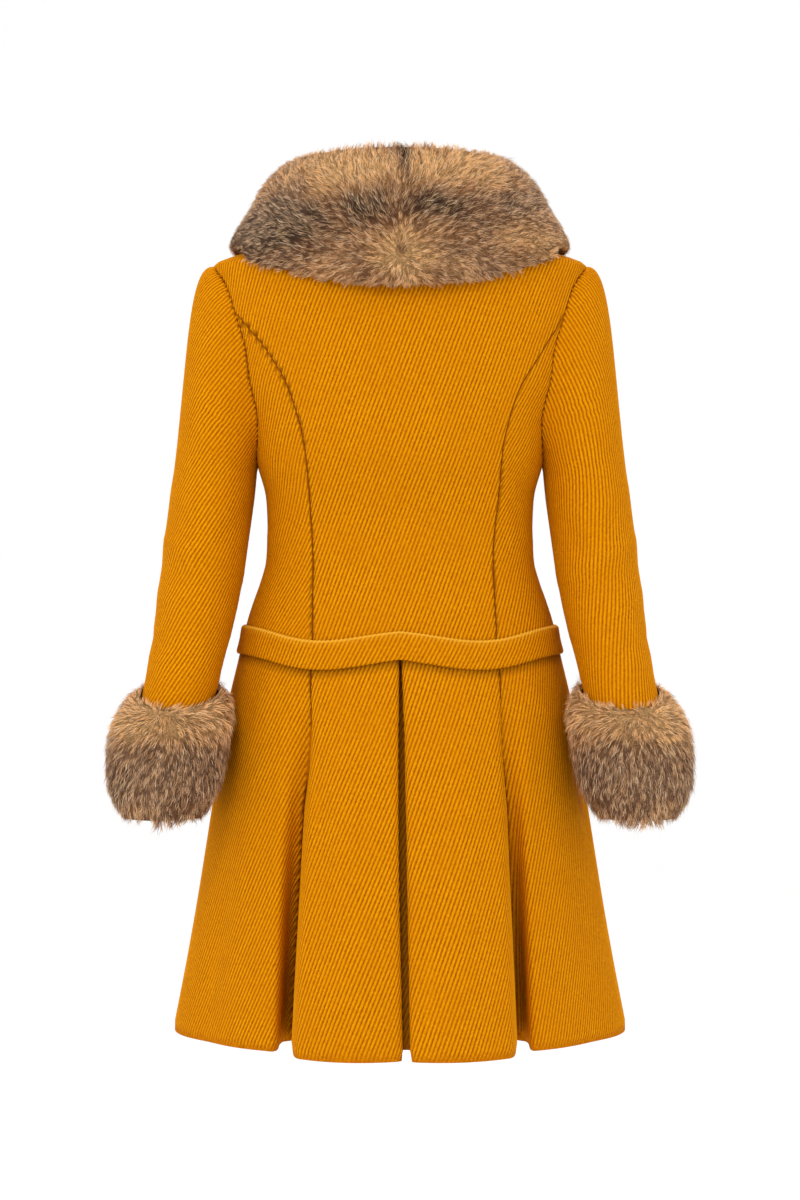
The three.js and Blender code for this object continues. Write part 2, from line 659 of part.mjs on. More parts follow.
/** A tube of cloth through rings, each thickened towards its own middle. */
function tubeWall(rings, mirrored) {
  const around = rings[0].length;
  const normals = rings.map((ring, k) => ring.map((p, i) => {
    const above = rings[Math.max(k - 1, 0)][i];
    const below = rings[Math.min(k + 1, rings.length - 1)][i];
    const before = ring[(i + around - 1) % around];
    const after = ring[(i + 1) % around];
    return after.clone().sub(before).cross(below.clone().sub(above)).normalize();
  }));
  const middle = rings.map((ring) => ring.reduce((sum, p) => sum.add(p), new THREE.Vector3())
    .divideScalar(around));
  const facesOut = normals[3][0].dot(rings[3][0].clone().sub(middle[3])) > 0 ? 1 : -1;
  const strips = rings[0].map((_, i) => {
    const outer = rings.map((ring) => ring[i]);
    const inner = rings.map((ring, k) => {
      // At the armhole the wall thickens in the armhole's own plane.
      const inward = k === 0 ? middle[0].clone().sub(ring[i]).normalize()
        : normals[k][i].clone().multiplyScalar(-facesOut);
      return ring[i].clone().addScaledVector(inward, CLOTH);
    });
    return [...outer, ...inner.reverse()];
  });
  return loft(strips, null, mirrored);
}

/** A point of the cuff, whose upper edge lies lower behind than in front. */
function cuffPoint(z, turn, out) {
  const share = clamp((z - CUFF_HEM) / (CUFF[0].z - CUFF_HEM), 0, 1);
  const behind = (sleeve.deep(z) + out) * Math.sin(turn);
  return sleeveRing(z - CUFF_TILT * share * behind, [turn], out + CUFF_CLEARANCE)[0];
}

/** A cuff: a thick ring of fur round the end of the sleeve. */
function cuffSolid(mirrored) {
  const AROUND = 28;
  const strips = spaced(0, 2 * Math.PI, AROUND).slice(0, -1).map((turn) => {
    const outer = CUFF.map(({ z, out }) => cuffPoint(z, turn, out));
    const inner = [...CUFF_RINGS].reverse().map((z) => cuffPoint(z, turn, 0));
    return [...outer, ...inner];
  });
  return loft(strips, null, mirrored);
}

for (const side of ['left', 'right']) {
  addPiece(`sleeve_${side}`, sleeveSolid(side === 'right'), COLOURS.cloth);
  addPiece(`cuff_${side}`, cuffSolid(side === 'right'), COLOURS.fur, 0.8);
}

// ------------------------------------------------------------------ the collar
/** The collar's section at an angle: over the roll, down inside it and back along the body. */
function collarSection(angle) {
  const power = 2 / COLLAR_SQUARENESS;
  const [sine, cosine] = [Math.sin(angle), Math.cos(angle)];
  const dip = Math.abs(cosine) ** 2.6;
  const outer = COLLAR.map((ring) => {
    const inFront = cosine < 0;
    const reach = inFront ? ring.front : ring.back;
    const end = inFront ? ring.zFront : ring.zBack;
    return new THREE.Vector3(
      ring.half * signedPower(sine, power),
      reach * signedPower(cosine, power),
      ring.zSide + (end - ring.zSide) * dip,
    );
  });
  const turned = Math.abs(angle);
  const rim = frontRow(0, turned);
  const edgeEnd = cosine < 0 ? COLLAR_EDGE.front : COLLAR_EDGE.back;
  const lowest = COLLAR_EDGE.side + (edgeEnd - COLLAR_EDGE.side) * dip;
  const along = [0, 0.25, 0.5, 0.75, 1].map((part) => rim - 4 + (lowest - rim + 4) * part);
  const onRim = [-2.2, 0.6].map((out) => (
    outlinePoint(angle, rim).addScaledVector(outward(angle, rim), out)
      .setZ(rim + COLLAR_RIM_CLEARANCE + 2.5 * smoothRise(-cosine, 0.4, 0.8))
  ));
  const overLap = (x) => (cosine < 0 ? lapHeight(-x, 'right') * (1 - smoothRise(x, 24, 44)) : 0);
  const clearance = COLLAR_CLEARANCE + COLLAR_SHOULDER_CLEARANCE * sine ** 4;
  const under = along.map((z) => coatPoint(angle, z, overLap(coatPoint(angle, z).x))
    .addScaledVector(normalOf(coatPoint, angle, z), clearance));
  const edge = under[4].clone().lerp(outer[0], 0.5)
    .addScaledVector(outward(angle, lowest), 1).add(new THREE.Vector3(0, 0, -1.5));
  return [edge, ...outer, ...onRim, ...under];
}

/** The whole collar, open at the centre front. */
function collarSolid() {
  const reach = Math.PI - COLLAR_END * RADIANS;
  const rings = spaced(-reach, reach, 48).map(collarSection);
  const contour = rings[0].map((p) => new THREE.Vector2(-p.y, p.z));
  return loft(rings, capOf(contour));
}
addPiece('collar', collarSolid(), COLOURS.fur, 0.8);

// ------------------------------------------------------------------ the buttons
/** A domed button on a short shank, standing on +Y. */
function buttonSolid() {
  const profile = [[0, 0], [3, 0], [3, 3], [BUTTON_RADIUS - 1.5, 3.2], [BUTTON_RADIUS, 4.4],
    [BUTTON_RADIUS - 1, 6], [BUTTON_RADIUS * 0.6, 7.4], [0, 8]];
  const geometry = new THREE.LatheGeometry(profile.map(([r, y]) => new THREE.Vector2(r, y)), 16);
  geometry.deleteAttribute('uv');
  return geometry;
}

BUTTON_HEIGHTS.forEach((z, i) => {
  const button = addPiece(`button_${i + 1}`, buttonSolid(), COLOURS.button, 0.4);
  const lap = lapHeight(0, 'right');
  const pointAt = (u, height) => coatPoint(u, height, lap);
  const normal = normalOf(pointAt, Math.PI, z);
  button.position.copy(pointAt(Math.PI, z).addScaledVector(normal, BUTTON_SEAT));
  button.quaternion.setFromUnitVectors(new THREE.Vector3(0, 1, 0), normal);
});

export default coat;
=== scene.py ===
"""Dresses the coat: ribbed cloth panels, a fur collar and cuffs, buttons, light and camera.

The frame is in metres, +Z up, with the front facing -Y and the wearer's left at +X. The
surfaces are worked out in millimetres, because that is how a coat is cut.
"""
import logging
import math
from collections.abc import Sequence
from dataclasses import dataclass, field, replace
from enum import Enum

import bpy
import numpy as np
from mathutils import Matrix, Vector


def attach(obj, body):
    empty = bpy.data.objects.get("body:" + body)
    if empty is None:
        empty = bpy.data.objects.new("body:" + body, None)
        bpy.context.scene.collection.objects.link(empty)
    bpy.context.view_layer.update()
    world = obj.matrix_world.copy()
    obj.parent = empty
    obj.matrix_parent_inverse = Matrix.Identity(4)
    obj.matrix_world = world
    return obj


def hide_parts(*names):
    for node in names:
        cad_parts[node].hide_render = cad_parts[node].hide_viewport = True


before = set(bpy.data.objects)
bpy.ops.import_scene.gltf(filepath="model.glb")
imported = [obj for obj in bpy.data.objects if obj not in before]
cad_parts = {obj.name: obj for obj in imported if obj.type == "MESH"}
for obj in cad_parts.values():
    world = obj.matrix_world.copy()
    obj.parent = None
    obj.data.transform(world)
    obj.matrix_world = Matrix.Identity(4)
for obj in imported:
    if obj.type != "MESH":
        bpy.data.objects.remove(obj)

LOG = logging.getLogger("coat")
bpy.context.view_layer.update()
MM = 0.001
Array = np.ndarray
# Small steps that find tangents: two turns in radians, a rise and a part of a ring.
TURN_STEP = 0.01
FINE_TURN = 0.004
FINE_RISE = 0.4
RING_STEP = 0.05
# Large numbers that scramble a noise cell's place and its seed.
CELL_FACTORS = (73856093, 19349663, 83492791)
SEED_FACTOR = 2654435
MIXING_FACTOR = 1274126177
SEED_SHIFT = 17.31


class Side(Enum):
    """A side of the wearer, with the sign of its X."""

    LEFT = 1
    RIGHT = -1

    @property
    def word(self) -> str:
        """The side's name in lower case."""
        return self.name.lower()


# ---------------------------------------------------------------- curves and small maths
class Curve:
    """A smooth curve through a table's column, which never overshoots its rows."""

    def __init__(self, xs: Sequence[float], ys: Sequence[float]) -> None:
        """Sorts the rows by xs, which is looked up, and sets the slope of ys at each."""
        order = np.argsort(xs)
        self.xs = np.asarray(xs, float)[order]
        self.ys = np.asarray(ys, float)[order]
        rises = np.diff(self.ys) / np.diff(self.xs)
        before = np.concatenate([rises[:1], rises])
        after = np.concatenate([rises, rises[-1:]])
        product = before * after
        total = np.where(product > 0, before + after, 1.0)
        self.slopes = np.where(product > 0, 2 * product / total, 0.0)

    def __call__(self, x: Array | float) -> Array:
        """The curve's height at x, held at its ends."""
        x = np.clip(x, self.xs[0], self.xs[-1])
        i = np.clip(np.searchsorted(self.xs, x, side="left") - 1, 0, len(self.xs) - 2)
        width = self.xs[i + 1] - self.xs[i]
        t = (x - self.xs[i]) / width
        return ((2 * t**3 - 3 * t**2 + 1) * self.ys[i] + (t**3 - 2 * t**2 + t) * width * self.slopes[i]
                + (3 * t**2 - 2 * t**3) * self.ys[i + 1] + (t**3 - t**2) * width * self.slopes[i + 1])


def column(rows: Sequence[Sequence[float]], index: int) -> Curve:
    """The curve of one column of a table over the first one."""
    return Curve([row[0] for row in rows], [row[index] for row in rows])


def signed_power(base: Array, exponent: Array | float) -> Array:
    """A power that keeps the sign of its base."""
    return np.sign(base) * np.abs(base) ** exponent


def smooth_rise(value: Array | float, low: float, high: float) -> Array:
    """0 below low, 1 above high and a smooth rise between them."""
    part = np.clip((value - low) / (high - low), 0, 1)
    return part * part * (3 - 2 * part)


def bell(value: Array | float, spread: Array | float) -> Array:
    """A bell curve of height 1."""
    return np.exp(-((value / spread) ** 2))


def unit(vectors: Array) -> Array:
    """The vectors scaled to length 1."""
    length = np.linalg.norm(vectors, axis=-1, keepdims=True)
    return vectors / np.maximum(length, 1e-9)


def level(vectors: Array) -> Array:
    """The vectors laid level and scaled to length 1."""
    return unit(vectors * np.array([1.0, 1.0, 0.0]))


def turned_degrees(angle: Array) -> Array:
    """How far an angle lies from the centre back, in degrees from 0 to 180."""
    return np.degrees(np.abs(np.arctan2(np.sin(angle), np.cos(angle))))


def cubic(corners: Sequence[Array], t: Array) -> Array:
    """A point of a cubic curve through four corners."""
    a, b, c, d = corners
    s = 1 - t
    return s**3 * a + 3 * s**2 * t * b + 3 * s * t**2 * c + t**3 * d


def soft_noise(points: Array, size: float, seed: int) -> Array:
    """Smooth noise between -1 and 1 at points in space, in cells of a size."""
    place = points / size + seed * SEED_SHIFT
    cell = np.floor(place).astype(np.int64)
    part = place - cell
    part = part * part * (3 - 2 * part)
    total = np.zeros(len(points))
    for corner in range(8):
        step = np.array([corner & 1, corner >> 1 & 1, corner >> 2 & 1])
        x, y, z = ((cell + step) * np.array(CELL_FACTORS)).T
        mixed = x ^ y ^ z ^ seed * SEED_FACTOR
        mixed = (mixed ^ mixed >> 13) * MIXING_FACTOR
        value = (mixed & 0xFFFF) / 32767.5 - 1
        weight = np.prod(np.where(step, part, 1 - part), axis=1)
        total += value * weight
    return total


# ---------------------------------------------------------------- the coat's outline
# Height, half width, reach behind and in front of the widest point, its place, squareness.
BODY_ROWS = (
    (-850, 238, 200, 168, -20, 2.0), (-777, 224, 194, 159, -20, 2.0),
    (-714, 213, 186, 151, -20, 2.0), (-651, 203, 176, 143, -20, 2.05),
    (-504, 180, 142, 124, -18, 2.1), (-462, 170, 129, 118, -14, 2.15),
    (-441, 165, 122, 116, -12, 2.2), (-420, 160, 115, 114, -10, 2.2),
    (-399, 153, 108, 112, -7, 2.25), (-378, 145.4, 102, 109, -4, 2.3),
    (-357, 140, 98, 107, 0, 2.3), (-325, 138.6, 98, 108, 0, 2.3),
    (-294, 140, 105, 118, 0, 2.3), (-254, 150, 116, 130, 0, 2.3),
    (-213, 156.4, 121, 128, 0, 2.3), (-173, 170.8, 120.5, 117, 0, 2.3),
    (-142, 176.6, 118, 108, 0, 2.3), (-99, 187, 112, 98, 0, 2.3),
    (-74, 190, 105, 91, 0, 2.3), (-50, 195, 98, 84, 0, 2.3),
    (-38, 167, 92, 79, 0, 2.3), (-25, 136, 84, 73, 0, 2.2),
    (-12, 106, 74, 66, 0, 2.1), (0, 78, 62, 58, 0, 2.0),
)
# Height and how far each seam lies from the centre line on the left and the right.
BACK_PRINCESS = (
    (-439, 87, 96.6), (-358, 89, 95.6), (-276, 93.8, 102.7), (-251, 96.3, 104.5),
    (-227, 100.8, 109), (-197, 109, 117), (-173, 118.4, 128), (-152, 131, 141.5),
    (-134, 143.8, 152), (-119, 157, 161.5), (-104, 168.5, 168.5),
)
FRONT_PRINCESS = (
    (-439, 92, 92), (-358, 86, 86), (-300, 88, 88), (-240, 95, 95),
    (-200, 104, 104), (-160, 120, 120), (-130, 140, 140), (-104, 163, 163),
)
SIDE_PLEAT = ((-850, 100, 108), (-680, 95.5, 105.5), (-535, 92, 104), (-471, 90, 101), (-441, 88, 98))
SLIT = ((-850, -1.5, 7.3), (-549, 1.2, 4.2), (-441, 0.6, 0.9))
SKIRT_FRONT_SEAM = ((-850, 132, 132), (-620, 108, 108), (-441, 92, 92))
# Angle from the centre back, spread and height of each soft fold that opens to the hem.
SKIRT_FOLDS = ((57, 10, -5), (80, 9, 1), (108, 12, 5), (131, 10, -6), (152, 10, 6))


@dataclass(frozen=True)
class SeamLine:
    """A seam's distance from the centre line at each height, on either side."""

    rows: tuple[tuple[float, float, float], ...]

    def at(self, z: Array | float, side: Side) -> Array:
        """How far the seam lies from the centre line at a height."""
        return column(self.rows, 1 if side is Side.LEFT else 2)(z)


@dataclass
class CoatSurface:
    """The cloth's outer surface round the body, in millimetres."""

    shoulder_tip: float = -50
    underarm: float = -254
    armhole_half_depth: float = 60
    armhole_squareness: float = 2.2
    princess_top: float = -104
    waist: float = -441
    dip: float = 15
    dip_degrees: float = 27
    dip_spread: float = 26
    dip_fade: tuple[float, float] = (20, 90)
    hem: float = -850
    neck_drop: float = 55
    neck_drop_from: float = 120
    pleats_from: float = -460
    pleats_power: float = 1.3
    pleat_depth: float = 80
    front_lap: float = 22
    lap_rise: float = 3.3
    lap_fade: tuple[float, float] = (14, 40)
    seam_gap: float = 0.3
    back_princess: SeamLine = SeamLine(BACK_PRINCESS)
    front_princess: SeamLine = SeamLine(FRONT_PRINCESS)
    side_pleat: SeamLine = SeamLine(SIDE_PLEAT)
    slit: SeamLine = SeamLine(SLIT)
    skirt_front: SeamLine = SeamLine(SKIRT_FRONT_SEAM)

    def __post_init__(self) -> None:
        """Sets up the outline's curves."""
        self.half, self.back, self.front, self.mid, self.square = (
            column(BODY_ROWS, i) for i in range(1, 6))

    def waist_wave(self, angle: Array) -> Array:
        """How far the waist seam dips from its mean height at an angle."""
        return 1 - self.dip * bell(turned_degrees(angle) - self.dip_degrees, self.dip_spread)

    def openness(self, z: Array | float) -> Array:
        """How far open the pleats and folds are: 0 at the waist, 1 at the hem."""
        share = (self.pleats_from - z) / (self.pleats_from - self.hem)
        return np.clip(share, 0, 1) ** self.pleats_power

    def outline(self, angle: Array, z: Array) -> Array:
        """A point on the smooth outline. The angle is 0 behind and grows towards +X."""
        angle, z = np.broadcast_arrays(np.asarray(angle, float), np.asarray(z, float))
        power = 2 / self.square(z)
        depth = np.where(np.cos(angle) >= 0, self.back(z), self.front(z))
        x = self.half(z) * signed_power(np.sin(angle), power)
        y = self.mid(z) + depth * signed_power(np.cos(angle), power)
        return np.stack([x, y, z], axis=-1)

    def angle_at(self, x: Array | float, z: Array | float, in_front: bool = False) -> Array:
        """The angle at which the outline lies x from the centre line."""
        sine = signed_power(np.clip(x / self.half(z), -1, 1), self.square(z) / 2)
        angle = np.arcsin(sine)
        return math.pi - angle if in_front else angle

    def outward(self, angle: Array, z: Array) -> Array:
        """The level unit vector that points out of the outline."""
        along = self.outline(angle + TURN_STEP, z) - self.outline(angle - TURN_STEP, z)
        return unit(np.stack([-along[..., 1], along[..., 0], np.zeros_like(along[..., 0])], axis=-1))

    def fold_height(self, angle: Array, z: Array) -> Array:
        """How far the skirt's soft folds stand out."""
        turned = turned_degrees(angle)
        return self.openness(z) * sum(h * bell(turned - a, s) for a, s, h in SKIRT_FOLDS)

    def point(self, angle: Array, z: Array | float, out: Array | float = 0.0) -> Array:
        """A point on a row of the cloth, or outside it. The waist's wave bends the rows."""
        angle = np.asarray(angle, float)
        near_waist = 1 - smooth_rise(np.abs(z - self.waist), *self.dip_fade)
        height = z + self.waist_wave(angle) * near_waist
        reach = out + self.fold_height(angle, z)
        return self.outline(angle, height) + self.outward(angle, height) * np.expand_dims(reach, -1)

    def slide(self, angle: Array, z: Array | float, distance: Array | float) -> Array:
        """The angle moved along the surface by a distance."""
        ahead = self.point(angle + TURN_STEP, z) - self.point(angle - TURN_STEP, z)
        return angle + distance * (2 * TURN_STEP) / np.linalg.norm(ahead, axis=-1)

    def armhole_depth(self, z: Array | float) -> Array:
        """Half the armhole's depth at a height."""
        middle = (self.shoulder_tip + self.underarm) / 2
        reach = np.abs((z - middle) / ((self.shoulder_tip - self.underarm) / 2))
        rest = np.maximum(0, 1 - reach**self.armhole_squareness)
        return self.armhole_half_depth * rest ** (1 / self.armhole_squareness)

    def side_edge(self, z: float, in_front: bool) -> float:
        """The angle of the armhole's edge, or of the shoulder and side seams."""
        if z >= self.shoulder_tip or z <= self.underarm:
            return math.pi / 2
        depth = self.front(z) if in_front else self.back(z)
        angle = float(np.arccos((self.armhole_depth(z) / depth) ** (self.square(z) / 2)))
        return math.pi - angle if in_front else angle

    def front_row(self, z: float, angle: Array) -> Array:
        """The height of a row on the fronts, where the neckline dips to the centre."""
        share = np.clip(1 - z / self.princess_top, 0, 1)
        return z - self.neck_drop * smooth_rise(np.degrees(angle), self.neck_drop_from, 180) * share

    def lap_height(self, x: Array, side: Side) -> Array:
        """How far the upper front stands out where it lies over the lower one."""
        if side is Side.LEFT:
            return np.zeros_like(x)
        low, high = (self.front_lap + reach for reach in self.lap_fade)
        return self.lap_rise * (1 - smooth_rise(x, low, high))

    def centre_edge(self, z: float, side: Side, in_front: bool) -> float:
        """The outer edge of a centre panel: shoulder and armhole, then princess seam."""
        if z >= self.princess_top:
            return self.side_edge(z, in_front)
        seam = self.front_princess if in_front else self.back_princess
        return float(self.angle_at(seam.at(z, side), z, in_front))


COAT = CoatSurface()


# ---------------------------------------------------------------- meshes
def make_object(name: str, verts: Array, faces: Sequence[Sequence[int]], finish: "Finish",
                values: dict[str, Array] | None = None, sharp_degrees: float = 70) -> bpy.types.Object:
    """A smooth-shaded mesh object at the origin.

    Args:
        name: The object's name.
        verts: Its points in millimetres.
        faces: Its faces.
        finish: Its material.
        values: Point attributes by name: one number, or three, a point.
        sharp_degrees: Edges that turn by more than this stay sharp.

    Returns:
        The new object.
    """
    mesh = bpy.data.meshes.new(name)
    mesh.from_pydata((np.asarray(verts) * MM).tolist(), [], np.asarray(faces).tolist())
    for key, value in (values or {}).items():
        kind = "FLOAT" if value.ndim == 1 else "FLOAT_VECTOR"
        layer = mesh.attributes.new(key, kind, "POINT")
        layer.data.foreach_set("value" if value.ndim == 1 else "vector", value.astype(np.float32).ravel())
    mesh.materials.append(finish.material())
    mesh.shade_smooth()
    mesh.set_sharp_from_angle(angle=math.radians(sharp_degrees))
    piece = bpy.data.objects.new(name, mesh)
    bpy.context.scene.collection.objects.link(piece)
    return piece


def triangle_count(piece: bpy.types.Object) -> int:
    """How many triangles an object's mesh has."""
    return sum(len(face.vertices) - 2 for face in piece.data.polygons)


def face_normals(verts: Array, faces: Array) -> Array:
    """The unscaled normals of triangles."""
    a, b, c = (verts[faces[:, i]] for i in range(3))
    return np.cross(b - a, c - a)


def vertex_normals(verts: Array, faces: Array) -> Array:
    """The unit normals of a mesh's points."""
    normals = np.zeros_like(verts)
    flat = face_normals(verts, faces)
    for corner in range(3):
        np.add.at(normals, faces[:, corner], flat)
    return unit(normals)


def zipper(first: Array, second: Array, along_first: Array, along_second: Array) -> Array:
    """Triangles between two rows of points, joined where their places along the row agree.

    Args:
        first: The point numbers of one row.
        second: Those of the other.
        along_first: The place of each point of the first row, growing.
        along_second: The place of each point of the second row, growing.

    Returns:
        The triangles, wound first, first, second.
    """
    places = np.concatenate([along_first[1:], along_second[1:]])
    from_first = np.concatenate([np.ones(len(first) - 1, bool), np.zeros(len(second) - 1, bool)])
    order = np.argsort(places, kind="stable")
    from_first = from_first[order]
    i = np.concatenate([[0], np.cumsum(from_first)[:-1]])
    j = np.concatenate([[0], np.cumsum(~from_first)[:-1]])
    i = np.minimum(i, len(first) - 1)
    j = np.minimum(j, len(second) - 1)
    next_i = np.minimum(i + 1, len(first) - 1)
    next_j = np.minimum(j + 1, len(second) - 1)
    with_first = np.stack([first[i], first[next_i], second[j]], axis=1)
    with_second = np.stack([first[i], second[next_j], second[j]], axis=1)
    return np.where(from_first[:, None], with_first, with_second)


@dataclass(frozen=True)
class Crease:
    """A soft ridge or trough in the cloth, behind or in front, that fades round the sides."""

    x: float
    z: float
    lean: float
    length: float
    width: float
    height: float
    behind: bool = True
    fade: float = 30

    def rise(self, points: Array) -> Array:
        """How far the crease lifts the cloth at each point."""
        lean = math.radians(self.lean)
        dx, dz = points[:, 0] - self.x, points[:, 2] - self.z
        along = dx * math.sin(lean) + dz * math.cos(lean)
        across = dx * math.cos(lean) - dz * math.sin(lean)
        facing = smooth_rise(points[:, 1] if self.behind else -points[:, 1], 0, self.fade)
        return self.height * bell(along, self.length / 2) * bell(across, self.width / 2) * facing


@dataclass(frozen=True)
class Ribs:
    """The cloth's ribs: their pitch, their height at each quarter of it, and the plain edge."""

    pitch: float = 4.05
    quarters: tuple[float, float, float, float] = (-0.42, 0.08, 0.34, 0.08)
    edge_fade: float = 1.0

    def height(self, phase: Array) -> Array:
        """The ribs' height at a phase, straight between the quarters."""
        place = np.mod(phase, 1) * 4
        return np.interp(place, range(5), (*self.quarters, self.quarters[0]))


@dataclass
class Row:
    """One level line of a panel, densely sampled in order round the body.

    The ribs lean by some degrees there and are counted from the reference, a share of the row.
    seamed is 1 where the row ends at seams, which take painted shade.
    light is the painted highlight that the row takes, and a negative one is painted shade.
    """

    points: Array
    lean: float
    reference: float
    seamed: float = 1.0
    light: float = 0.0

    def lengths(self) -> Array:
        """How far each sample lies along the row."""
        steps = np.linalg.norm(np.diff(self.points, axis=0), axis=1)
        return np.concatenate([[0], np.cumsum(steps)])

    def at_reference(self) -> Array:
        """The point at the row's reference share."""
        shares = np.linspace(0, 1, len(self.points))
        return np.array([np.interp(self.reference, shares, self.points[:, i]) for i in range(3)])


@dataclass
class RibbedPanel:
    """A panel of the ribbed cloth: a thin closed shell whose points follow the ribs.

    With plumb, the ribs lean from the plumb line and not from the line of the references. The
    belt's shadow is a dark line at shadow_at under the panel's top.
    """

    name: str
    rows: list[Row]
    toward_right: int
    ribs: Ribs = field(default_factory=Ribs)
    thickness: float = 1.9
    seam_dip: float = 0.7
    seam_spread: float = 0.5
    hem_dip: float = 0.0
    hem_spread: float = 3.0
    # shade is painted shade laid over the whole panel.
    shade: float = 0.0
    plumb: bool = False
    belt_shadow: float = 0.0
    shadow_at: float = 16.5
    shadow_spread: float = 2.2
    plain_rib: float = 0.35
    inner_step: float = 11
    creases: tuple[Crease, ...] = ()

    def ribs_along(self) -> list[Array]:
        """The rib phase of every sample of every row."""
        phases, drift, last = [], 0.0, self.rows[0].at_reference()
        for row in self.rows:
            lean, here = math.radians(row.lean), row.at_reference()
            shares = np.linspace(0, 1, len(row.points))
            runs = np.linalg.norm(np.diff(row.points[:, :2], axis=0), axis=1)
            round_it = np.concatenate([[0], np.cumsum(runs)])
            start = np.interp(row.reference, shares, round_it)
            middle = int(np.clip(row.reference * (len(shares) - 1), 1, len(shares) - 2))
            along = self.toward_right * level(row.points[middle + 1] - row.points[middle - 1])
            step = here - last
            sideways = float(step @ along) * self.plumb
            down = math.sqrt(max(float(step @ step) - sideways**2, 0.0))
            drift += sideways * math.cos(lean) + down * math.sin(lean)
            last = here
            across = self.toward_right * (round_it - start) * math.cos(lean)
            rise = (row.points[:, 2] - here[2]) * math.sin(lean)
            phases.append((across + drift - rise) / self.ribs.pitch)
        return phases

    def cut_row(self, row: Row, phase: Array) -> tuple[Array, Array, Array]:
        """The row's points at each quarter of a rib, with its two ends.

        Args:
            row: The row.
            phase: The rib phase of its samples.

        Returns:
            The points, their phases and their shares of the row's length.
        """
        lengths = row.lengths()
        share = lengths / max(lengths[-1], 1e-6)
        low, high = min(phase[0], phase[-1]), max(phase[0], phase[-1])
        quarters = np.arange(math.ceil(low * 4), math.floor(high * 4) + 1) / 4
        if phase[0] > phase[-1]:
            quarters = quarters[::-1]
            at = np.interp(-quarters, -phase, share)
        else:
            at = np.interp(quarters, phase, share)
        margin = min(self.ribs.edge_fade / max(lengths[-1], 1e-6), 0.3)
        inside = (at > margin * 1.25) & (at < 1 - margin * 1.25)
        at = np.concatenate([[0, margin], at[inside], [1 - margin, 1]])
        ends = np.interp([margin, 1 - margin], share, phase)
        keys = np.concatenate([[phase[0], ends[0]], quarters[inside], [ends[1], phase[-1]]])
        points = np.stack([np.interp(at, share, row.points[:, i]) for i in range(3)], axis=1)
        return points, keys, at

    def build(self, finish: "Finish", outward_from: Array) -> tuple[bpy.types.Object, float]:
        """Builds the shell.

        Args:
            finish: The cloth's finish.
            outward_from: A point that the panel faces away from.

        Returns:
            The object, and the cloth's area in square metres.
        """
        phases = self.ribs_along()
        cuts = [self.cut_row(row, phase) for row, phase in zip(self.rows, phases)]
        counts = [len(cut[0]) for cut in cuts]
        starts = np.concatenate([[0], np.cumsum(counts)])
        numbers = [np.arange(starts[i], starts[i + 1]) for i in range(len(cuts))]
        base = np.concatenate([cut[0] for cut in cuts])
        phase = np.concatenate([cut[1] for cut in cuts])
        sign = 1 if phases[0][-1] > phases[0][0] or phases[-1][-1] > phases[-1][0] else -1
        faces = np.concatenate([
            zipper(numbers[i], numbers[i + 1], sign * cuts[i][1], sign * cuts[i + 1][1])
            for i in range(len(cuts) - 1)])
        flat = face_normals(base, faces)
        middles = base[faces].mean(axis=1)
        faces_out = np.sum(flat * (middles - outward_from) * np.array([1, 1, 0.0]))
        if faces_out < 0:
            faces = faces[:, ::-1]
        area = np.linalg.norm(flat, axis=1).sum() / 2
        normals = vertex_normals(base, faces)
        to_edge = np.concatenate([np.minimum(cut[2], 1 - cut[2]) * row.lengths()[-1]
                                  for cut, row in zip(cuts, self.rows)])
        seamed = np.repeat([row.seamed for row in self.rows], counts)
        light = np.repeat([row.light for row in self.rows], counts)
        from_top = np.repeat(np.concatenate([[0], np.cumsum(self.steps_down())]), counts)
        to_hem = from_top[-1] - from_top
        fade = smooth_rise(to_edge, 0, self.ribs.edge_fade) * smooth_rise(to_hem, 0, self.ribs.edge_fade)
        relief = self.ribs.height(phase) * fade
        relief -= self.seam_dip * bell(to_edge, self.seam_spread) * seamed
        relief -= self.hem_dip * bell(to_hem, self.hem_spread)
        for crease in self.creases:
            relief += crease.rise(base)
        outer = base + normals * relief[:, None]
        verts, shell = self.close(outer, base, normals, cuts, numbers, faces, faces_out < 0)
        count = len(outer)
        lowest, _, highest, _ = self.ribs.quarters
        rib = np.full(len(verts), self.plain_rib)
        rib[:count] = np.interp(self.ribs.height(phase), (lowest, highest), (0, 1)) * fade
        rib[:count] += self.plain_rib * (1 - fade)
        # seam holds painted shade along the seams, over panels with a shade and as the belt's painted
        # shadow; a row's light turns it into a painted highlight.
        seam = np.full(len(verts), self.shade)
        seam[:count] = np.maximum(self.shade, bell(to_edge, self.seam_spread) * seamed)
        seam[:count] += self.belt_shadow * bell(from_top - self.shadow_at, self.shadow_spread) - light
        piece = make_object(self.name, verts, shell, finish, {"rib": rib, "seam": seam})
        return piece, area * MM * MM

    def steps_down(self) -> Array:
        """How far each row lies from the one above it, at their references."""
        middles = np.array([row.at_reference() for row in self.rows])
        return np.linalg.norm(np.diff(middles, axis=0), axis=1)

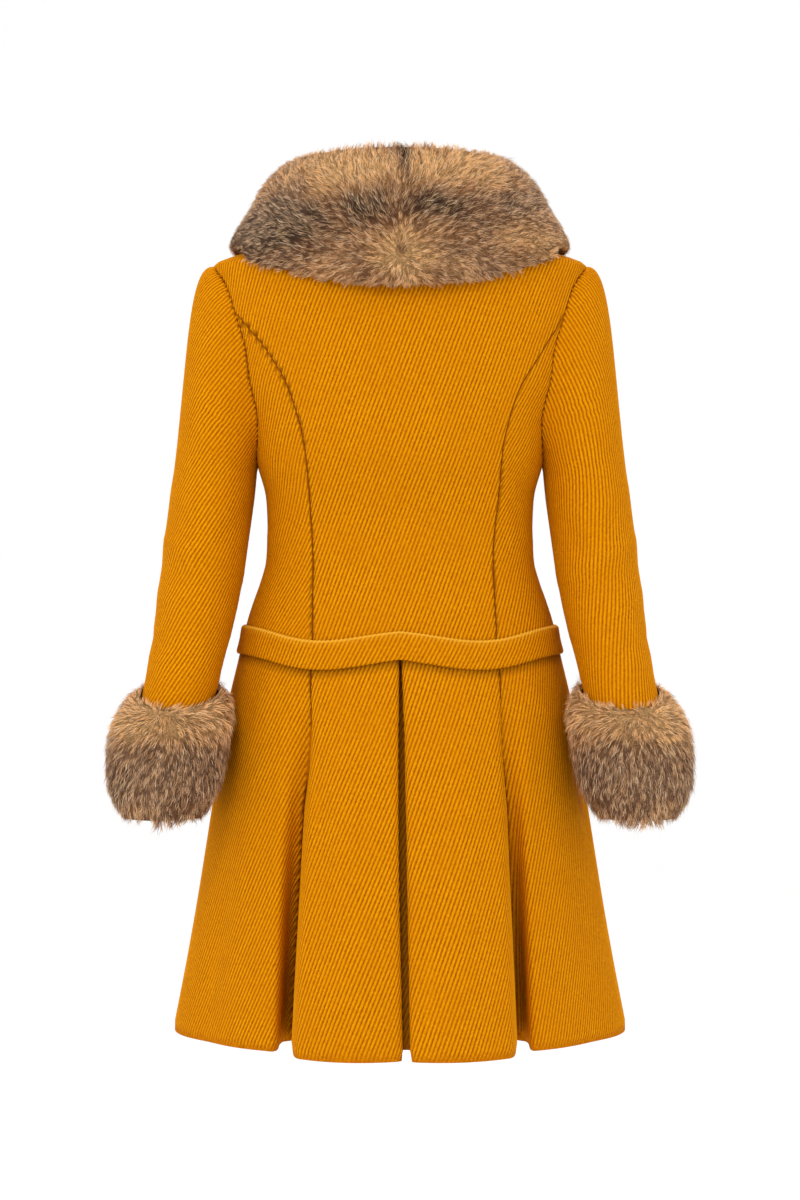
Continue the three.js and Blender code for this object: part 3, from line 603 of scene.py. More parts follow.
    def close(self, outer: Array, base: Array, normals: Array, cuts: list, numbers: list,
              faces: Array, turned: bool) -> tuple[Array, Array]:
        """Adds the inner side and the four rims.

        Args:
            outer: The outer side's points.
            base: The same points without relief.
            normals: Their normals.
            cuts: The rows as they were cut.
            numbers: The point numbers of each row.
            faces: The outer triangles.
            turned: Whether they were turned over.

        Returns:
            All the points and triangles.
        """
        widest = max(row.lengths()[-1] for row in self.rows)
        shares = np.linspace(0, 1, max(4, int(widest / self.inner_step)))
        inner, inner_numbers = [], []
        for i, cut in enumerate(cuts):
            rows = numbers[i]
            place = [np.interp(shares, cut[2], base[rows, k]) for k in range(3)]
            facing = [np.interp(shares, cut[2], normals[rows, k]) for k in range(3)]
            points = np.stack(place, axis=1) - unit(np.stack(facing, axis=1)) * self.thickness
            inner_numbers.append(len(outer) + i * len(shares) + np.arange(len(shares)))
            inner.append(points)
        strips = []
        for above, below in zip(inner_numbers, inner_numbers[1:]):
            strips.append(np.stack([above[:-1], below[1:], above[1:]], axis=1))
            strips.append(np.stack([above[:-1], below[:-1], below[1:]], axis=1))
        for end, order in ((0, 1), (-1, -1)):
            for i in range(len(cuts) - 1):
                a, b = numbers[i][end], numbers[i + 1][end]
                c, d = inner_numbers[i + 1][end], inner_numbers[i][end]
                strips.append(np.array([[a, b, c], [a, c, d]])[:, ::order])
        strips.append(zipper(inner_numbers[0], numbers[0], shares, cuts[0][2]))
        strips.append(zipper(numbers[-1], inner_numbers[-1], cuts[-1][2], shares))
        rest = np.concatenate(strips)
        if turned:
            rest = rest[:, ::-1]
        return np.concatenate([outer, *inner]), np.concatenate([faces, rest])


# ---------------------------------------------------------------- finishes
def add_node(tree: bpy.types.NodeTree, kind: str, settings: dict, inputs: dict) -> bpy.types.Node:
    """Adds a node with its settings, and its inputs as values or outputs."""
    made = tree.nodes.new(kind)
    for key, value in settings.items():
        setattr(made, key, value)
    for key, value in inputs.items():
        if isinstance(value, bpy.types.NodeSocket):
            tree.links.new(value, made.inputs[key])
        else:
            made.inputs[key].default_value = value
    return made


class Sock:
    """An output of a shader tree that can be reckoned with like a number."""

    def __init__(self, tree: bpy.types.NodeTree, output: bpy.types.NodeSocket) -> None:
        """Keeps the tree and the output."""
        self.tree = tree
        self.output = output

    def node(self, kind: str, settings: dict, inputs: dict, output: str | int = 0) -> "Sock":
        """Adds a node and returns one of its outputs."""
        given = {key: getattr(value, "output", value) for key, value in inputs.items()}
        return Sock(self.tree, add_node(self.tree, kind, settings, given).outputs[output])

    def reckon(self, operation: str, other: "Sock | float | None" = None) -> "Sock":
        """A sum, product or the like with another value."""
        inputs = {0: self} if other is None else {0: self, 1: other}
        return self.node("ShaderNodeMath", {"operation": operation}, inputs)

    def __add__(self, other: "Sock | float") -> "Sock":
        """The sum."""
        return self.reckon("ADD", other)

    def __mul__(self, other: "Sock | float") -> "Sock":
        """The product."""
        return self.reckon("MULTIPLY", other)

    def __sub__(self, other: "Sock | float") -> "Sock":
        """The difference."""
        return self.reckon("SUBTRACT", other)

    def ranged(self, low: float, high: float, to_low: float = 0.0, to_high: float = 1.0) -> "Sock":
        """The value moved from one range to another and held inside it."""
        return self.node("ShaderNodeMapRange", {"clamp": True}, {
            "Value": self, "From Min": low, "From Max": high, "To Min": to_low, "To Max": to_high})

    def blend(self, first: "Sock | tuple", second: "Sock | tuple", how: str = "MIX") -> "Sock":
        """Mixes two colours, with this value as the share of the second."""
        return self.node("ShaderNodeMix", {"data_type": "RGBA", "blend_type": how, "clamp_factor": True},
                         {0: self, 6: first, 7: second}, 2)


def linear(red: int, green: int, blue: int) -> tuple[float, float, float, float]:
    """A screen colour as the renderer's linear one."""
    parts = [part / 255 for part in (red, green, blue)]
    return (*[p / 12.92 if p <= 0.04045 else ((p + 0.055) / 1.055) ** 2.4 for p in parts], 1.0)


class Finish:
    """A procedural material, built once."""

    name = "finish"
    roughness = 0.8
    specular = 0.3

    def material(self) -> bpy.types.Material:
        """The material, built the first time that it is asked for."""
        found = bpy.data.materials.get(self.name)
        if found:
            return found
        made = bpy.data.materials.new(self.name)
        made.use_nodes = True
        tree = made.node_tree
        shader = tree.nodes["Principled BSDF"]
        shader.inputs["Roughness"].default_value = self.roughness
        shader.inputs["Specular IOR Level"].default_value = self.specular
        start = Sock(tree, tree.nodes.new("ShaderNodeTexCoord").outputs["Object"])
        self.dress(start, shader)
        return made

    def dress(self, place: Sock, shader: bpy.types.Node) -> None:
        """Links the varying inputs of the shader. Each finish has its own."""
        raise NotImplementedError

    @staticmethod
    def noise(place: Sock, scale: float, detail: float = 2.0, rough: float = 0.5) -> Sock:
        """Noise in the object's own space."""
        return place.node("ShaderNodeTexNoise", {"noise_dimensions": "3D"}, {
            "Vector": place, "Scale": scale, "Detail": detail, "Roughness": rough}, 0)

    @staticmethod
    def value(place: Sock, name: str, output: str = "Fac") -> Sock:
        """A point attribute."""
        return place.node("ShaderNodeAttribute", {"attribute_name": name}, {}, output)

    @staticmethod
    def bump(place: Sock, height: Sock, strength: float, distance: float) -> Sock:
        """A normal bent by a height."""
        return place.node("ShaderNodeBump", {}, {
            "Strength": strength, "Distance": distance, "Height": height}, "Normal")

    @staticmethod
    def feed(shader: bpy.types.Node, **links: Sock) -> None:
        """Links values to the shader's inputs, named with underscores for spaces."""
        for key, value in links.items():
            value.tree.links.new(value.output, shader.inputs[key.replace("_", " ")])


@dataclass(frozen=True)
class RibbedCloth(Finish):
    """Mustard ribbed cloth with a short, dusty pile."""

    name: str = "ribbed_cloth"
    # Crest, flank and valley paint the ribs' light and shade: lighter on the crests, darker in the valleys.
    crest: tuple = linear(230, 153, 0)
    flank: tuple = linear(200, 117, 0)
    valley: tuple = linear(144, 74, 0)
    # edge is the colour of the painted highlight on rims that catch light, such as the belt's top.
    edge: tuple = linear(250, 192, 62)
    # shade is the colour of the painted shade at seams, under the belt and in the slit.
    shade: tuple = linear(74, 32, 3)
    roughness: float = 0.92
    specular: float = 0.05

    def dress(self, place: Sock, shader: bpy.types.Node) -> None:
        """Colours crests and valleys with painted light and shade, adds painted shade and a painted
        highlight from the seam value, and bumps the pile.
        """
        rib = self.value(place, "rib")
        seam = self.value(place, "seam")
        pile = self.noise(place, 820, 3, 0.7)
        tufts = self.noise(place, 380, 1, 0.5)
        patches = self.noise(place, 26, 3, 0.55)
        height = rib + (pile - 0.5) * 0.9 + (tufts - 0.5) * 0.7
        # Painted shade in the rib valleys and painted light on the crests, broken up by the pile's random
        # tone.
        lower = height.ranged(0.0, 0.5).blend(self.valley, self.flank)
        upper = height.ranged(0.5, 1.0).blend(lower, self.crest)
        tinted = patches.ranged(0.38, 0.68, 0.0, 0.3).blend(upper, self.flank)
        # Painted shade where the seam value is positive, and a painted highlight where it is negative.
        shaded = seam.ranged(0.0, 1.0, 0.0, 0.7).blend(tinted, self.shade)
        painted_highlight = seam.ranged(0.0, -1.0).blend(shaded, self.edge)
        bumped = self.bump(place, pile, 0.6, 0.0008)
        rough = pile.ranged(0.3, 0.7, 0.84, 1.0)
        self.feed(shader, Base_Color=painted_highlight, Roughness=rough, Normal=bumped)


@dataclass(frozen=True)
class FurHair(Finish):
    """Hair of the fur: dark at the root, with the pelt's own colour towards the tip."""

    name: str = "fur_hair"
    root: tuple = linear(44, 24, 13)
    glow: tuple = linear(255, 208, 150)
    frost: tuple = linear(242, 218, 190)
    roughness: float = 0.55
    specular: float = 0.25

    def dress(self, place: Sock, shader: bpy.types.Node) -> None:
        """Shades each hair from its root to its tip."""
        along = self.value(place, "along")
        pelt = self.value(place, "pelt", "Color")
        tint = (self.value(place, "tint") + self.value(place, "strand")).reckon("FRACT")
        bright = (tint.ranged(0.35, 1.0, 0.0, 1.0) * along.ranged(0.15, 0.7)).blend(pelt, self.glow)
        deep = along.ranged(0.0, 0.5, 0.28, 1.0).blend(self.root, bright)
        frosted = (tint.ranged(0.83, 0.88) * along.ranged(0.4, 0.85, 0.0, 0.9)).blend(deep, self.frost)
        darker = (tint.ranged(0.42, 0.05) * 0.88).blend(frosted, self.root)
        rough = tint.ranged(0.0, 1.0, 0.42, 0.68)
        self.feed(shader, Base_Color=darker, Roughness=rough)


@dataclass(frozen=True)
class FurPelt(Finish):
    """The pelt under the hair."""

    name: str = "fur_pelt"
    root: tuple = linear(46, 30, 18)
    roughness: float = 0.9
    specular: float = 0.1

    def dress(self, place: Sock, shader: bpy.types.Node) -> None:
        """Darkens the pelt's colour and roughens it."""
        pelt = self.value(place, "pelt", "Color")
        tufts = self.noise(place, 420, 4, 0.7)
        mixed = tufts.ranged(0.3, 0.75, 0.1, 0.65).blend(self.root, pelt)
        self.feed(shader, Base_Color=mixed, Roughness=tufts.ranged(0.3, 0.7, 0.8, 1.0),
                  Normal=self.bump(place, tufts, 0.8, 0.002))


@dataclass(frozen=True)
class HornButton(Finish):
    """Dark brown polished horn with paler streaks."""

    name: str = "horn_button"
    dark: tuple = linear(52, 30, 16)
    pale: tuple = linear(128, 82, 44)
    roughness: float = 0.3
    specular: float = 0.5

    def dress(self, place: Sock, shader: bpy.types.Node) -> None:
        """Streaks the horn."""
        streaks = self.noise(place, 240, 4, 0.6)
        grain = self.noise(place, 1500, 2, 0.5)
        colour = streaks.ranged(0.4, 0.68).blend(self.dark, self.pale)
        self.feed(shader, Base_Color=colour, Roughness=grain.ranged(0.3, 0.7, 0.24, 0.38),
                  Normal=self.bump(place, grain, 0.08, 0.0002))


@dataclass(frozen=True)
class PaleFloor(Finish):
    """The plain pale floor."""

    name: str = "pale_floor"
    pale: tuple = linear(252, 252, 252)
    roughness: float = 0.9

    def dress(self, place: Sock, shader: bpy.types.Node) -> None:
        """A faint variation in an even tone."""
        spread = self.noise(place, 1.2, 1, 0.4)
        colour = spread.ranged(0.3, 0.7, 0.0, 0.15).blend(self.pale, linear(249, 249, 249))
        self.feed(shader, Base_Color=colour)


# ---------------------------------------------------------------- the cloth's panels
def spread(start: float, end: float, steps: int) -> Array:
    """Evenly spaced numbers, both ends included."""
    return np.linspace(start, end, steps + 1)


def rows_between(marks: Sequence[float], step: float) -> list[float]:
    """Heights down through every mark, at most a step apart."""
    heights = [marks[0]]
    for above, below in zip(marks, marks[1:]):
        count = max(1, math.ceil(abs(above - below) / step))
        heights.extend(above + (below - above) * i / count for i in range(1, count + 1))
    return heights


def mirror(points: Array, side: Side) -> Array:
    """Points moved over to the right side, if the side is the right one."""
    return points * np.array([side.value, 1.0, 1.0])


@dataclass
class ClothPiece:
    """A finished panel, and what its flat cut measures."""

    panel: RibbedPanel
    node: str
    rests_on: tuple[str, ...] = ()
    most_filled: float = 0.995

    def make(self, finish: Finish, outward_from: Array) -> None:
        """Builds the panel, which faces away from a point, hides the part that it replaces and logs its
        size.
        """
        piece, area = self.panel.build(finish, outward_from)
        width = max(row.lengths()[-1] for row in self.panel.rows) * MM
        length = max(self.panel.steps_down().sum() * MM, area / width / self.most_filled)
        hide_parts(self.node)
        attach(piece, "root")
        LOG.info("%s: %d triangles, %.0f x %.0f mm", piece.name, triangle_count(piece),
                 width / MM, length / MM)


# Heights that the bodice's rows go through.
SHOULDER_MARKS = (0, -16, -33, -50)
ARMHOLE_TOP_MARKS = (-50, -50.2, -50.6, -51.2, -52, -53, -54.5, -56.5, -59, -62, -66, -70, -75, -84, -104)
ARMHOLE_MARKS = (-104, -104.6, -105.6, -107.5, -112, -130, -160, -193, -222, -235, -243, -249, -252,
                 -253.5, -254)
WAIST_MARKS = (-254, -280, -310, -340, -370, -400, -424, -440.5)
FRONT_SAMPLES = 100


@dataclass
class Bodice:
    """The close-fitting upper part, in seven panels."""

    surface: CoatSurface = field(default_factory=lambda: COAT)
    step: float = 9.0
    shoulder_step: float = 3.4
    armhole_step: float = 4.5
    lean: float = 21.0
    side_lean: float = 27.0
    back_samples: int = 150
    side_samples: int = 60
    back_creases: tuple[Crease, ...] = (
        Crease(-62, -405, 62, 90, 16, 1.6), Crease(-50, -428, 70, 80, 13, -1.3),
        Crease(58, -408, -60, 84, 15, 1.5), Crease(44, -430, -72, 70, 12, -1.2),
        Crease(118, -255, -28, 90, 20, -1.8), Crease(-124, -262, 28, 90, 20, -1.8),
        Crease(130, -330, -64, 60, 14, 1.4), Crease(-132, -336, 64, 60, 14, 1.4),
        Crease(0, -330, 0, 150, 70, -1.6), Crease(20, -250, 84, 120, 26, 1.0),
    )
    front_creases: tuple[Crease, ...] = (
        Crease(70, -400, 62, 90, 16, 1.5, False), Crease(-70, -396, -62, 90, 16, 1.5, False),
        Crease(120, -262, 28, 90, 20, -1.6, False), Crease(-120, -262, -28, 90, 20, -1.6, False),
    )

    def heights(self) -> list[float]:
        """The heights of the rows from neck to waist."""
        upper = rows_between(SHOULDER_MARKS, self.shoulder_step)
        upper += rows_between(ARMHOLE_TOP_MARKS, self.armhole_step)[1:]
        upper += rows_between(ARMHOLE_MARKS, self.step)[1:]
        return upper + rows_between(WAIST_MARKS, self.step)[1:]

    def centre_back(self) -> ClothPiece:
        """The back, in one piece from neck to waist."""
        surface, rows = self.surface, []
        for z in self.heights():
            right = surface.slide(-surface.centre_edge(z, Side.RIGHT, False), z, surface.seam_gap / 2)
            left = surface.slide(surface.centre_edge(z, Side.LEFT, False), z, -surface.seam_gap / 2)
            angles = right + (left - right) * spread(0, 1, self.back_samples)
            rows.append(Row(surface.point(angles, z), self.lean, float(-right / (left - right))))
        panel = RibbedPanel("back_centre_cloth", rows, -1, creases=self.back_creases)
        return ClothPiece(panel, "back_centre")

    def side_panel(self, side: Side, in_front: bool) -> ClothPiece:
        """The panel from a princess seam to the side seam."""
        surface, rows = self.surface, []
        for z in [h for h in self.heights() if h < surface.princess_top - 0.5]:
            inner, outer = surface.centre_edge(z, side, in_front), surface.side_edge(z, in_front)
            start = surface.slide(min(inner, outer), z, surface.seam_gap / 2)
            end = surface.slide(max(inner, outer), z, -surface.seam_gap / 2)
            points = surface.point(start + (end - start) * spread(0, 1, self.side_samples), z)
            rows.append(Row(mirror(points, side), self.side_lean, 0.5))
        word = "front_side" if in_front else "back_side"
        creases = self.front_creases if in_front else self.back_creases
        panel = RibbedPanel(f"{word}_{side.word}_cloth", rows, -side.value, creases=creases, plumb=True)
        return ClothPiece(panel, f"{word}_{side.word}")

    def front_panel(self, side: Side) -> ClothPiece:
        """The front, from the shoulder and princess seam to past the centre line."""
        edges = {z: self.surface.centre_edge(z, side, True) for z in self.heights()}
        rows = front_rows(self.surface, side, edges, self.lean)
        panel = RibbedPanel(f"front_{side.word}_cloth", rows, -side.value, creases=self.front_creases,
                            plumb=True)
        return ClothPiece(panel, f"front_{side.word}")

    def pieces(self) -> list[ClothPiece]:
        """All the panels of the bodice."""
        made = [self.centre_back()]
        for side in Side:
            made += [self.side_panel(side, False), self.side_panel(side, True), self.front_panel(side)]
        return made


def front_rows(surface: CoatSurface, side: Side, edges: dict[float, float], lean: float) -> list[Row]:
    """The rows of a front of the bodice or the skirt, from its outer seam's angle at each height."""
    rows = []
    for z, edge in edges.items():
        start = surface.slide(edge, z, surface.seam_gap / 2)
        end_row = surface.front_row(z, np.array(math.pi))
        end = math.pi + surface.angle_at(surface.front_lap, end_row)
        angle = start + (end - start) * spread(0, 1, FRONT_SAMPLES)
        height = surface.front_row(z, angle)
        x = surface.point(angle, height)[:, 0]
        points = surface.point(angle, height, surface.lap_height(x, side))
        rows.append(Row(mirror(points, side), lean, 0.6))
    return rows


@dataclass
class Skirt:
    """The flared skirt: two centre back panels, an underlay, two sides and two fronts."""

    surface: CoatSurface = field(default_factory=lambda: COAT)
    step: float = 10.0
    lean: float = 21.0
    side_leans: dict[Side, float] = field(default_factory=lambda: {Side.LEFT: 24.0, Side.RIGHT: 17.0})
    cloth: float = 2.6
    flare_slit: float = 31
    flare_bulge: float = 13
    flare_pleat: float = 26
    slit_return: float = 9
    slit_roll: float = 8
    pleat_roll: float = 12
    pleat_straight: tuple[float, float] = (0.02, 0.3)
    tuck: float = 36
    underlay_half: float = 39
    underlay_hem: float = -842
    underlay_gap: float = 0.8
    underlay_hollow: float = 12
    marks: tuple[float, ...] = (-441.5, -458, -485, -520, -570, -630, -700, -775, -850)
    creases: tuple[Crease, ...] = (
        Crease(-62, -640, -3, 330, 34, 3.0), Crease(52, -700, 4, 280, 32, 2.6),
        Crease(-30, -780, -2, 190, 26, -2.2), Crease(84, -600, 6, 230, 26, -2.0),
        Crease(-168, -700, 9, 260, 30, 3.2), Crease(160, -660, -8, 290, 30, 3.4),
        Crease(-190, -600, 12, 190, 24, -2.6), Crease(186, -760, -10, 190, 26, -2.6),
        Crease(-140, -500, 20, 90, 18, 1.8), Crease(140, -505, -18, 90, 18, 1.8),
    )
    front_creases: tuple[Crease, ...] = (
        Crease(-90, -680, 5, 300, 36, 2.6, False), Crease(84, -700, -5, 300, 36, 2.6, False),
        Crease(150, -720, -9, 240, 30, -2.4, False), Crease(-150, -690, 9, 240, 30, -2.4, False),
    )

    def heights(self) -> list[float]:
        """The heights of the rows from waist to hem."""
        return rows_between(self.marks, self.step)

    def flare(self, x: Array, z: float, side: Side) -> Array:
        """How far a centre back panel stands off the outline."""
        part = np.clip(np.abs(x) / self.surface.side_pleat.at(z, side), 0, 1)
        return self.surface.openness(z) * (self.flare_slit + self.flare_bulge * np.sin(np.pi * part)
                                           + (self.flare_pleat - self.flare_slit) * part)

    def flared(self, angle: Array, z: float, side: Side, out: Array | float = 0.0) -> Array:
        """A point on a centre back panel's face."""
        angle = np.asarray(angle, float)
        x = self.surface.outline(angle, np.full_like(angle, z))[..., 0]
        return self.surface.point(angle, z, self.flare(x, z, side) + out)

    def frame(self, angle: float, z: float, side: Side) -> tuple[Array, Array]:
        """The level tangent and outward normal of a centre back panel."""
        along = level(self.flared(angle + TURN_STEP, z, side) - self.flared(angle - TURN_STEP, z, side))
        return along, np.array([-along[1], along[0], 0.0])

    def pleat(self, z: float, side: Side) -> tuple[float, Array, Array, Array, float]:
        """A side pleat's angle, tangent, normal, edge and depth."""
        x = self.surface.side_pleat.at(z, side)
        angle = float(self.surface.angle_at(x, z))
        opened = float(self.surface.openness(z))
        straight = smooth_rise(opened, *self.pleat_straight)
        along = unit(self.frame(angle, z, side)[0] * (1 - straight) + np.array([straight, 0, 0]))
        out = np.array([-along[1], along[0], 0.0])
        depth = float(opened * self.surface.pleat_depth + self.flare(x, z, side))
        return angle, along, out, self.flared(angle, z, side), depth

    def centre_row(self, z: float, side: Side) -> Array:
        """A row of a centre back panel: slit edge, face and pleat."""
        surface = self.surface
        slit_angle = float(surface.angle_at(surface.slit.at(z, side), z))
        angle, _, pleat_out, _, depth = self.pleat(z, side)
        _, slit_out = self.frame(slit_angle, z, side)
        t = spread(0, 1, 18)[:, None]
        roll = cubic([np.array(p, float) for p in
                      ((0, self.slit_return), (0, 4), (2, 0), (self.slit_roll, 0))], t)
        slit_edge = (self.flared(surface.slide(slit_angle, z, roll[:, 0]), z, side)
                     - slit_out * roll[:, 1:])
        start = surface.slide(slit_angle, z, self.slit_roll)
        end = surface.slide(angle, z, -self.pleat_roll)
        face = self.flared(start + (end - start) * spread(0, 1, 70), z, side)
        turn = min(0.3 * depth, 16)
        roll = cubic([np.array(p, float) for p in ((-self.pleat_roll, 0), (-3, 0), (0, turn), (0, depth))],
                     spread(0, 1, 36)[:, None])
        fold = self.flared(surface.slide(angle, z, roll[:, 0]), z, side) - pleat_out * roll[:, 1:]
        return np.concatenate([slit_edge, face[1:], fold[1:]])

    def side_row(self, z: float, side: Side) -> Array:
        """A row of a side panel: the fold tucked under, then its face."""
        surface = self.surface
        angle, along, out, edge, depth = self.pleat(z, side)
        opened = float(surface.openness(z))
        face_start = float(surface.slide(np.array(angle), z, self.tuck))
        start = edge + along * (surface.seam_gap + 0.1) - out * depth
        end = surface.point(face_start, z)
        end_along = level(surface.point(face_start + 2 * TURN_STEP, z) - end)
        t = spread(0, 1, 40)[:, None]
        after = start + along * (11 + 11 * opened)
        before = end - end_along * (13 + 13 * opened)
        fold = cubic([start, after, before, end], t)
        steps = surface.slide(np.full(len(t), angle), z, self.tuck * t[:, 0])
        fold[:, 2] = surface.point(steps, z)[:, 2]
        seam = float(surface.angle_at(surface.skirt_front.at(z, side), z, True))
        last = float(surface.slide(np.array(seam), z, -surface.seam_gap / 2))
        face = surface.point(face_start + (last - face_start) * spread(0, 1, 130), z)
        return np.concatenate([fold, face[1:]])

    def underlay_row(self, z: float) -> Array:
        """A row of the underlay behind the slit."""
        u = spread(0.02, 0.98, 60)
        reach = float(self.surface.angle_at(self.underlay_half, z))
        hollow = self.underlay_hollow * np.maximum(np.cos((u - 0.5) * np.pi), 0) ** 1.5
        out = -(self.cloth + self.underlay_gap + hollow)
        angle = reach * (2 * u - 1)
        right, left = (self.flared(angle, z, side, out) for side in (Side.RIGHT, Side.LEFT))
        return np.where((u < 0.5)[:, None], right, left)

    @staticmethod
    def piece(word: str, side: Side, rows: list[Row], creases: tuple[Crease, ...]) -> ClothPiece:
        """A panel that hangs from the belt to the hem."""
        node = f"skirt_{word}_{side.word}"
        panel = RibbedPanel(f"{node}_cloth", rows, -side.value, hem_dip=1.4, belt_shadow=0.7,
                            creases=creases)
        return ClothPiece(panel, node)

    def pieces(self) -> list[ClothPiece]:
        """All the panels of the skirt."""
        made = []
        for side in Side:
            rows = [Row(mirror(self.centre_row(z, side), side), self.lean, 0.4) for z in self.heights()]
            made.append(self.piece("back", side, rows, self.creases))
            rows = [Row(mirror(self.side_row(z, side), side), self.side_leans[side], 0.3)
                    for z in self.heights()]
            made.append(self.piece("side", side, rows, self.creases))
            edges = {z: float(self.surface.angle_at(self.surface.skirt_front.at(z, side), z, True))
                     for z in self.heights()}
            rows = front_rows(self.surface, side, edges, self.lean)
            made.append(self.piece("front", side, rows, self.front_creases))
        # The underlay takes painted shade all over, for the shadow deep in the slit.
        rows = [Row(self.underlay_row(z), self.lean, 0.5) for z in self.heights() if z >= self.underlay_hem]
        made.append(ClothPiece(RibbedPanel("skirt_underlay_cloth", rows, -1, hem_dip=1.0, shade=0.95),
                               "skirt_pleat_underlay"))
        return made


@dataclass
class Belt:
    """The belt that is stitched on over the waist seam, with softly rolled edges."""

    surface: CoatSurface = field(default_factory=lambda: COAT)
    lean: float = 26.0
    seat: float = 0.7
    samples: int = 900
    # How high each line lies on the band, how far it stands out and its painted highlight; a negative one is
    # painted shade.
    section: tuple[tuple[float, float, float], ...] = (
        (14.9, 0.9, 0.2), (14.7, 2.2, 0.6), (13.6, 3.4, 0.6), (12.2, 4.0, 0.1), (7.0, 3.7, 0.0),
        (1.0, 3.3, 0.0), (-5.0, 3.3, 0.0), (-10.5, 3.6, 0.0), (-13.2, 3.2, 0.0), (-14.6, 2.0, -0.3),
        (-14.9, 0.9, -0.8))
    creases: tuple[Crease, ...] = (
        Crease(-46, -452, 70, 60, 20, 1.0), Crease(48, -455, -70, 60, 20, 1.0),
        Crease(0, -448, 0, 40, 40, -0.8), Crease(110, -448, 80, 60, 16, 0.8),
        Crease(-108, -450, -80, 60, 16, 0.8))

    def line(self, rise: float, out: float) -> Array:
        """One line round the belt, from one side of the front opening to the other."""
        surface = self.surface
        start = float(surface.angle_at(surface.front_lap + 1, surface.waist)) - math.pi
        end = float(surface.angle_at(surface.front_lap - 0.5, surface.waist)) + math.pi
        share = spread(0, 1, self.samples)
        angle = -(start + (end - start) * share)
        x = surface.point(angle, surface.waist)[:, 0]
        over = (share > 0.5) & (np.cos(angle) < 0)
        lap = np.where(over, surface.lap_height(-x, Side.RIGHT), 0)
        return surface.point(angle, surface.waist + rise, self.seat + lap + out)

    def pieces(self) -> list[ClothPiece]:
        """The belt as one piece."""
        rows = [Row(self.line(rise, out), self.lean, 0.5, 0.0, light) for rise, out, light in self.section]
        panel = RibbedPanel("belt_cloth", rows, 1, thickness=1.4, creases=self.creases)
        return [ClothPiece(panel, "belt")]


# The sleeve below the armhole: height, centre, half width and half depth of each level ring.
# Then the levels of its cap's rows, and the samples a row.
SLEEVE_ROWS = (
    (-620, 242, 79, 35.5, 40), (-590, 241, 78, 36, 41), (-546, 237, 74, 36.5, 43),
    (-500, 228, 63, 37.4, 47), (-462, 220.6, 50, 38.4, 51), (-420, 213.1, 35, 41, 56),
    (-378, 207, 22, 43, 60), (-336, 202, 13, 43.6, 63), (-294, 196.9, 6, 43.9, 65),
    (-264, 193.5, 2, 43.2, 66),
)
CAP_TOP_LEVELS = (-50.3, -50.8, -51.5, -52.5, -54, -56, -58.5, -61.5, -65, -69, -73.5)
CAP_LEVELS = (-78.5, -229, -5.4)
CAP_LAST = -231
SLEEVE_SAMPLES = 240
# A point inside the left sleeve.
SLEEVE_AXIS = np.array([225.0, 20.0, 0.0])


@dataclass
class SleeveSurface:
    """A left sleeve's outer surface, in millimetres: a cap out of the armhole, then a tube.

    The gap is how far the cap starts outside the armhole, so a negative one is a tucked edge.
    """

    surface: CoatSurface = field(default_factory=lambda: COAT)
    top: float = -264
    tilt: float = 0.5
    tilt_from_x: float = 195
    gap: float = -1.1

    def __post_init__(self) -> None:
        """Sets up the curves of the tube and the lines that run over the cap."""
        self.x, self.y, self.wide, self.deep = (column(SLEEVE_ROWS, i) for i in range(1, 5))
        self.turns = spread(math.pi, -math.pi, SLEEVE_SAMPLES)
        surface = self.surface
        middle = (surface.shoulder_tip + surface.underarm) / 2
        half = (surface.shoulder_tip - surface.underarm) / 2
        heights = middle + half * np.cos(spread(0, math.pi, 90))
        behind, before = (np.array([surface.point(surface.side_edge(float(z), in_front), float(z))
                                    for z in heights]) for in_front in (False, True))
        ring = np.concatenate([behind, before[1:-1][::-1]])
        turn = np.arctan2(ring[:, 1] / surface.armhole_half_depth, (ring[:, 2] - middle) / half)
        order = np.argsort(turn)
        self.starts = np.stack([np.interp(self.turns, turn[order], ring[order, i], period=2 * math.pi)
                                for i in range(3)], axis=1)
        ends = self.ring(self.top, self.turns)
        drop = np.linalg.norm(ends - self.starts, axis=1, keepdims=True)
        upper = (0.5 + 0.5 * np.cos(self.turns))[:, None]
        leave = unit(np.concatenate([np.ones_like(upper), np.zeros_like(upper),
                                     0.25 * upper - 0.9 * (1 - upper)], axis=1))
        corners = [self.starts, self.starts + leave * drop * (0.1 + 0.03 * upper),
                   ends + np.array([-0.11, 0, 1]) * drop * 0.6, ends]
        self.steps = spread(0, 1, 80)
        lines = np.stack([cubic(corners, t) for t in self.steps], axis=1)
        self.lines = lines + np.array([self.gap, 0, 0]) * (1 - self.steps[None, :, None] ** 4)
        self.starts = self.lines[:, 0]

    def ring(self, z: Array | float, turns: Array, out: Array | float = 0.0) -> Array:
        """Points round the tube at a height, a distance outside the cloth."""
        z = np.broadcast_to(np.asarray(z, float), turns.shape)
        return np.stack([self.x(z) + (self.wide(z) + out) * np.cos(turns),
                         self.y(z) + (self.deep(z) + out) * np.sin(turns), z], axis=-1)

    def cap_row(self, height: float, tilt: float) -> Array:
        """Where a plane that rises outwards cuts the cap, from its back edge to its front edge."""
        levels = self.lines[..., 2] - tilt * (self.lines[..., 0] - self.tilt_from_x)
        above = levels[:, 0] > height
        points = []
        for i in np.flatnonzero(above):
            at = np.interp(-height, -levels[i], self.steps)
            points.append([np.interp(at, self.steps, self.lines[i, :, k]) for k in range(3)])
        if above.all():
            return np.array(points)
        first, last = np.flatnonzero(above)[[0, -1]]
        ends = []
        for outside, inside in ((first - 1, first), (last + 1, last)):
            low, high = levels[outside, 0], levels[inside, 0]
            share = (height - low) / max(high - low, 1e-6)
            ends.append(self.starts[outside] + (self.starts[inside] - self.starts[outside]) * share)
        return np.array([ends[0], *points, ends[1]])


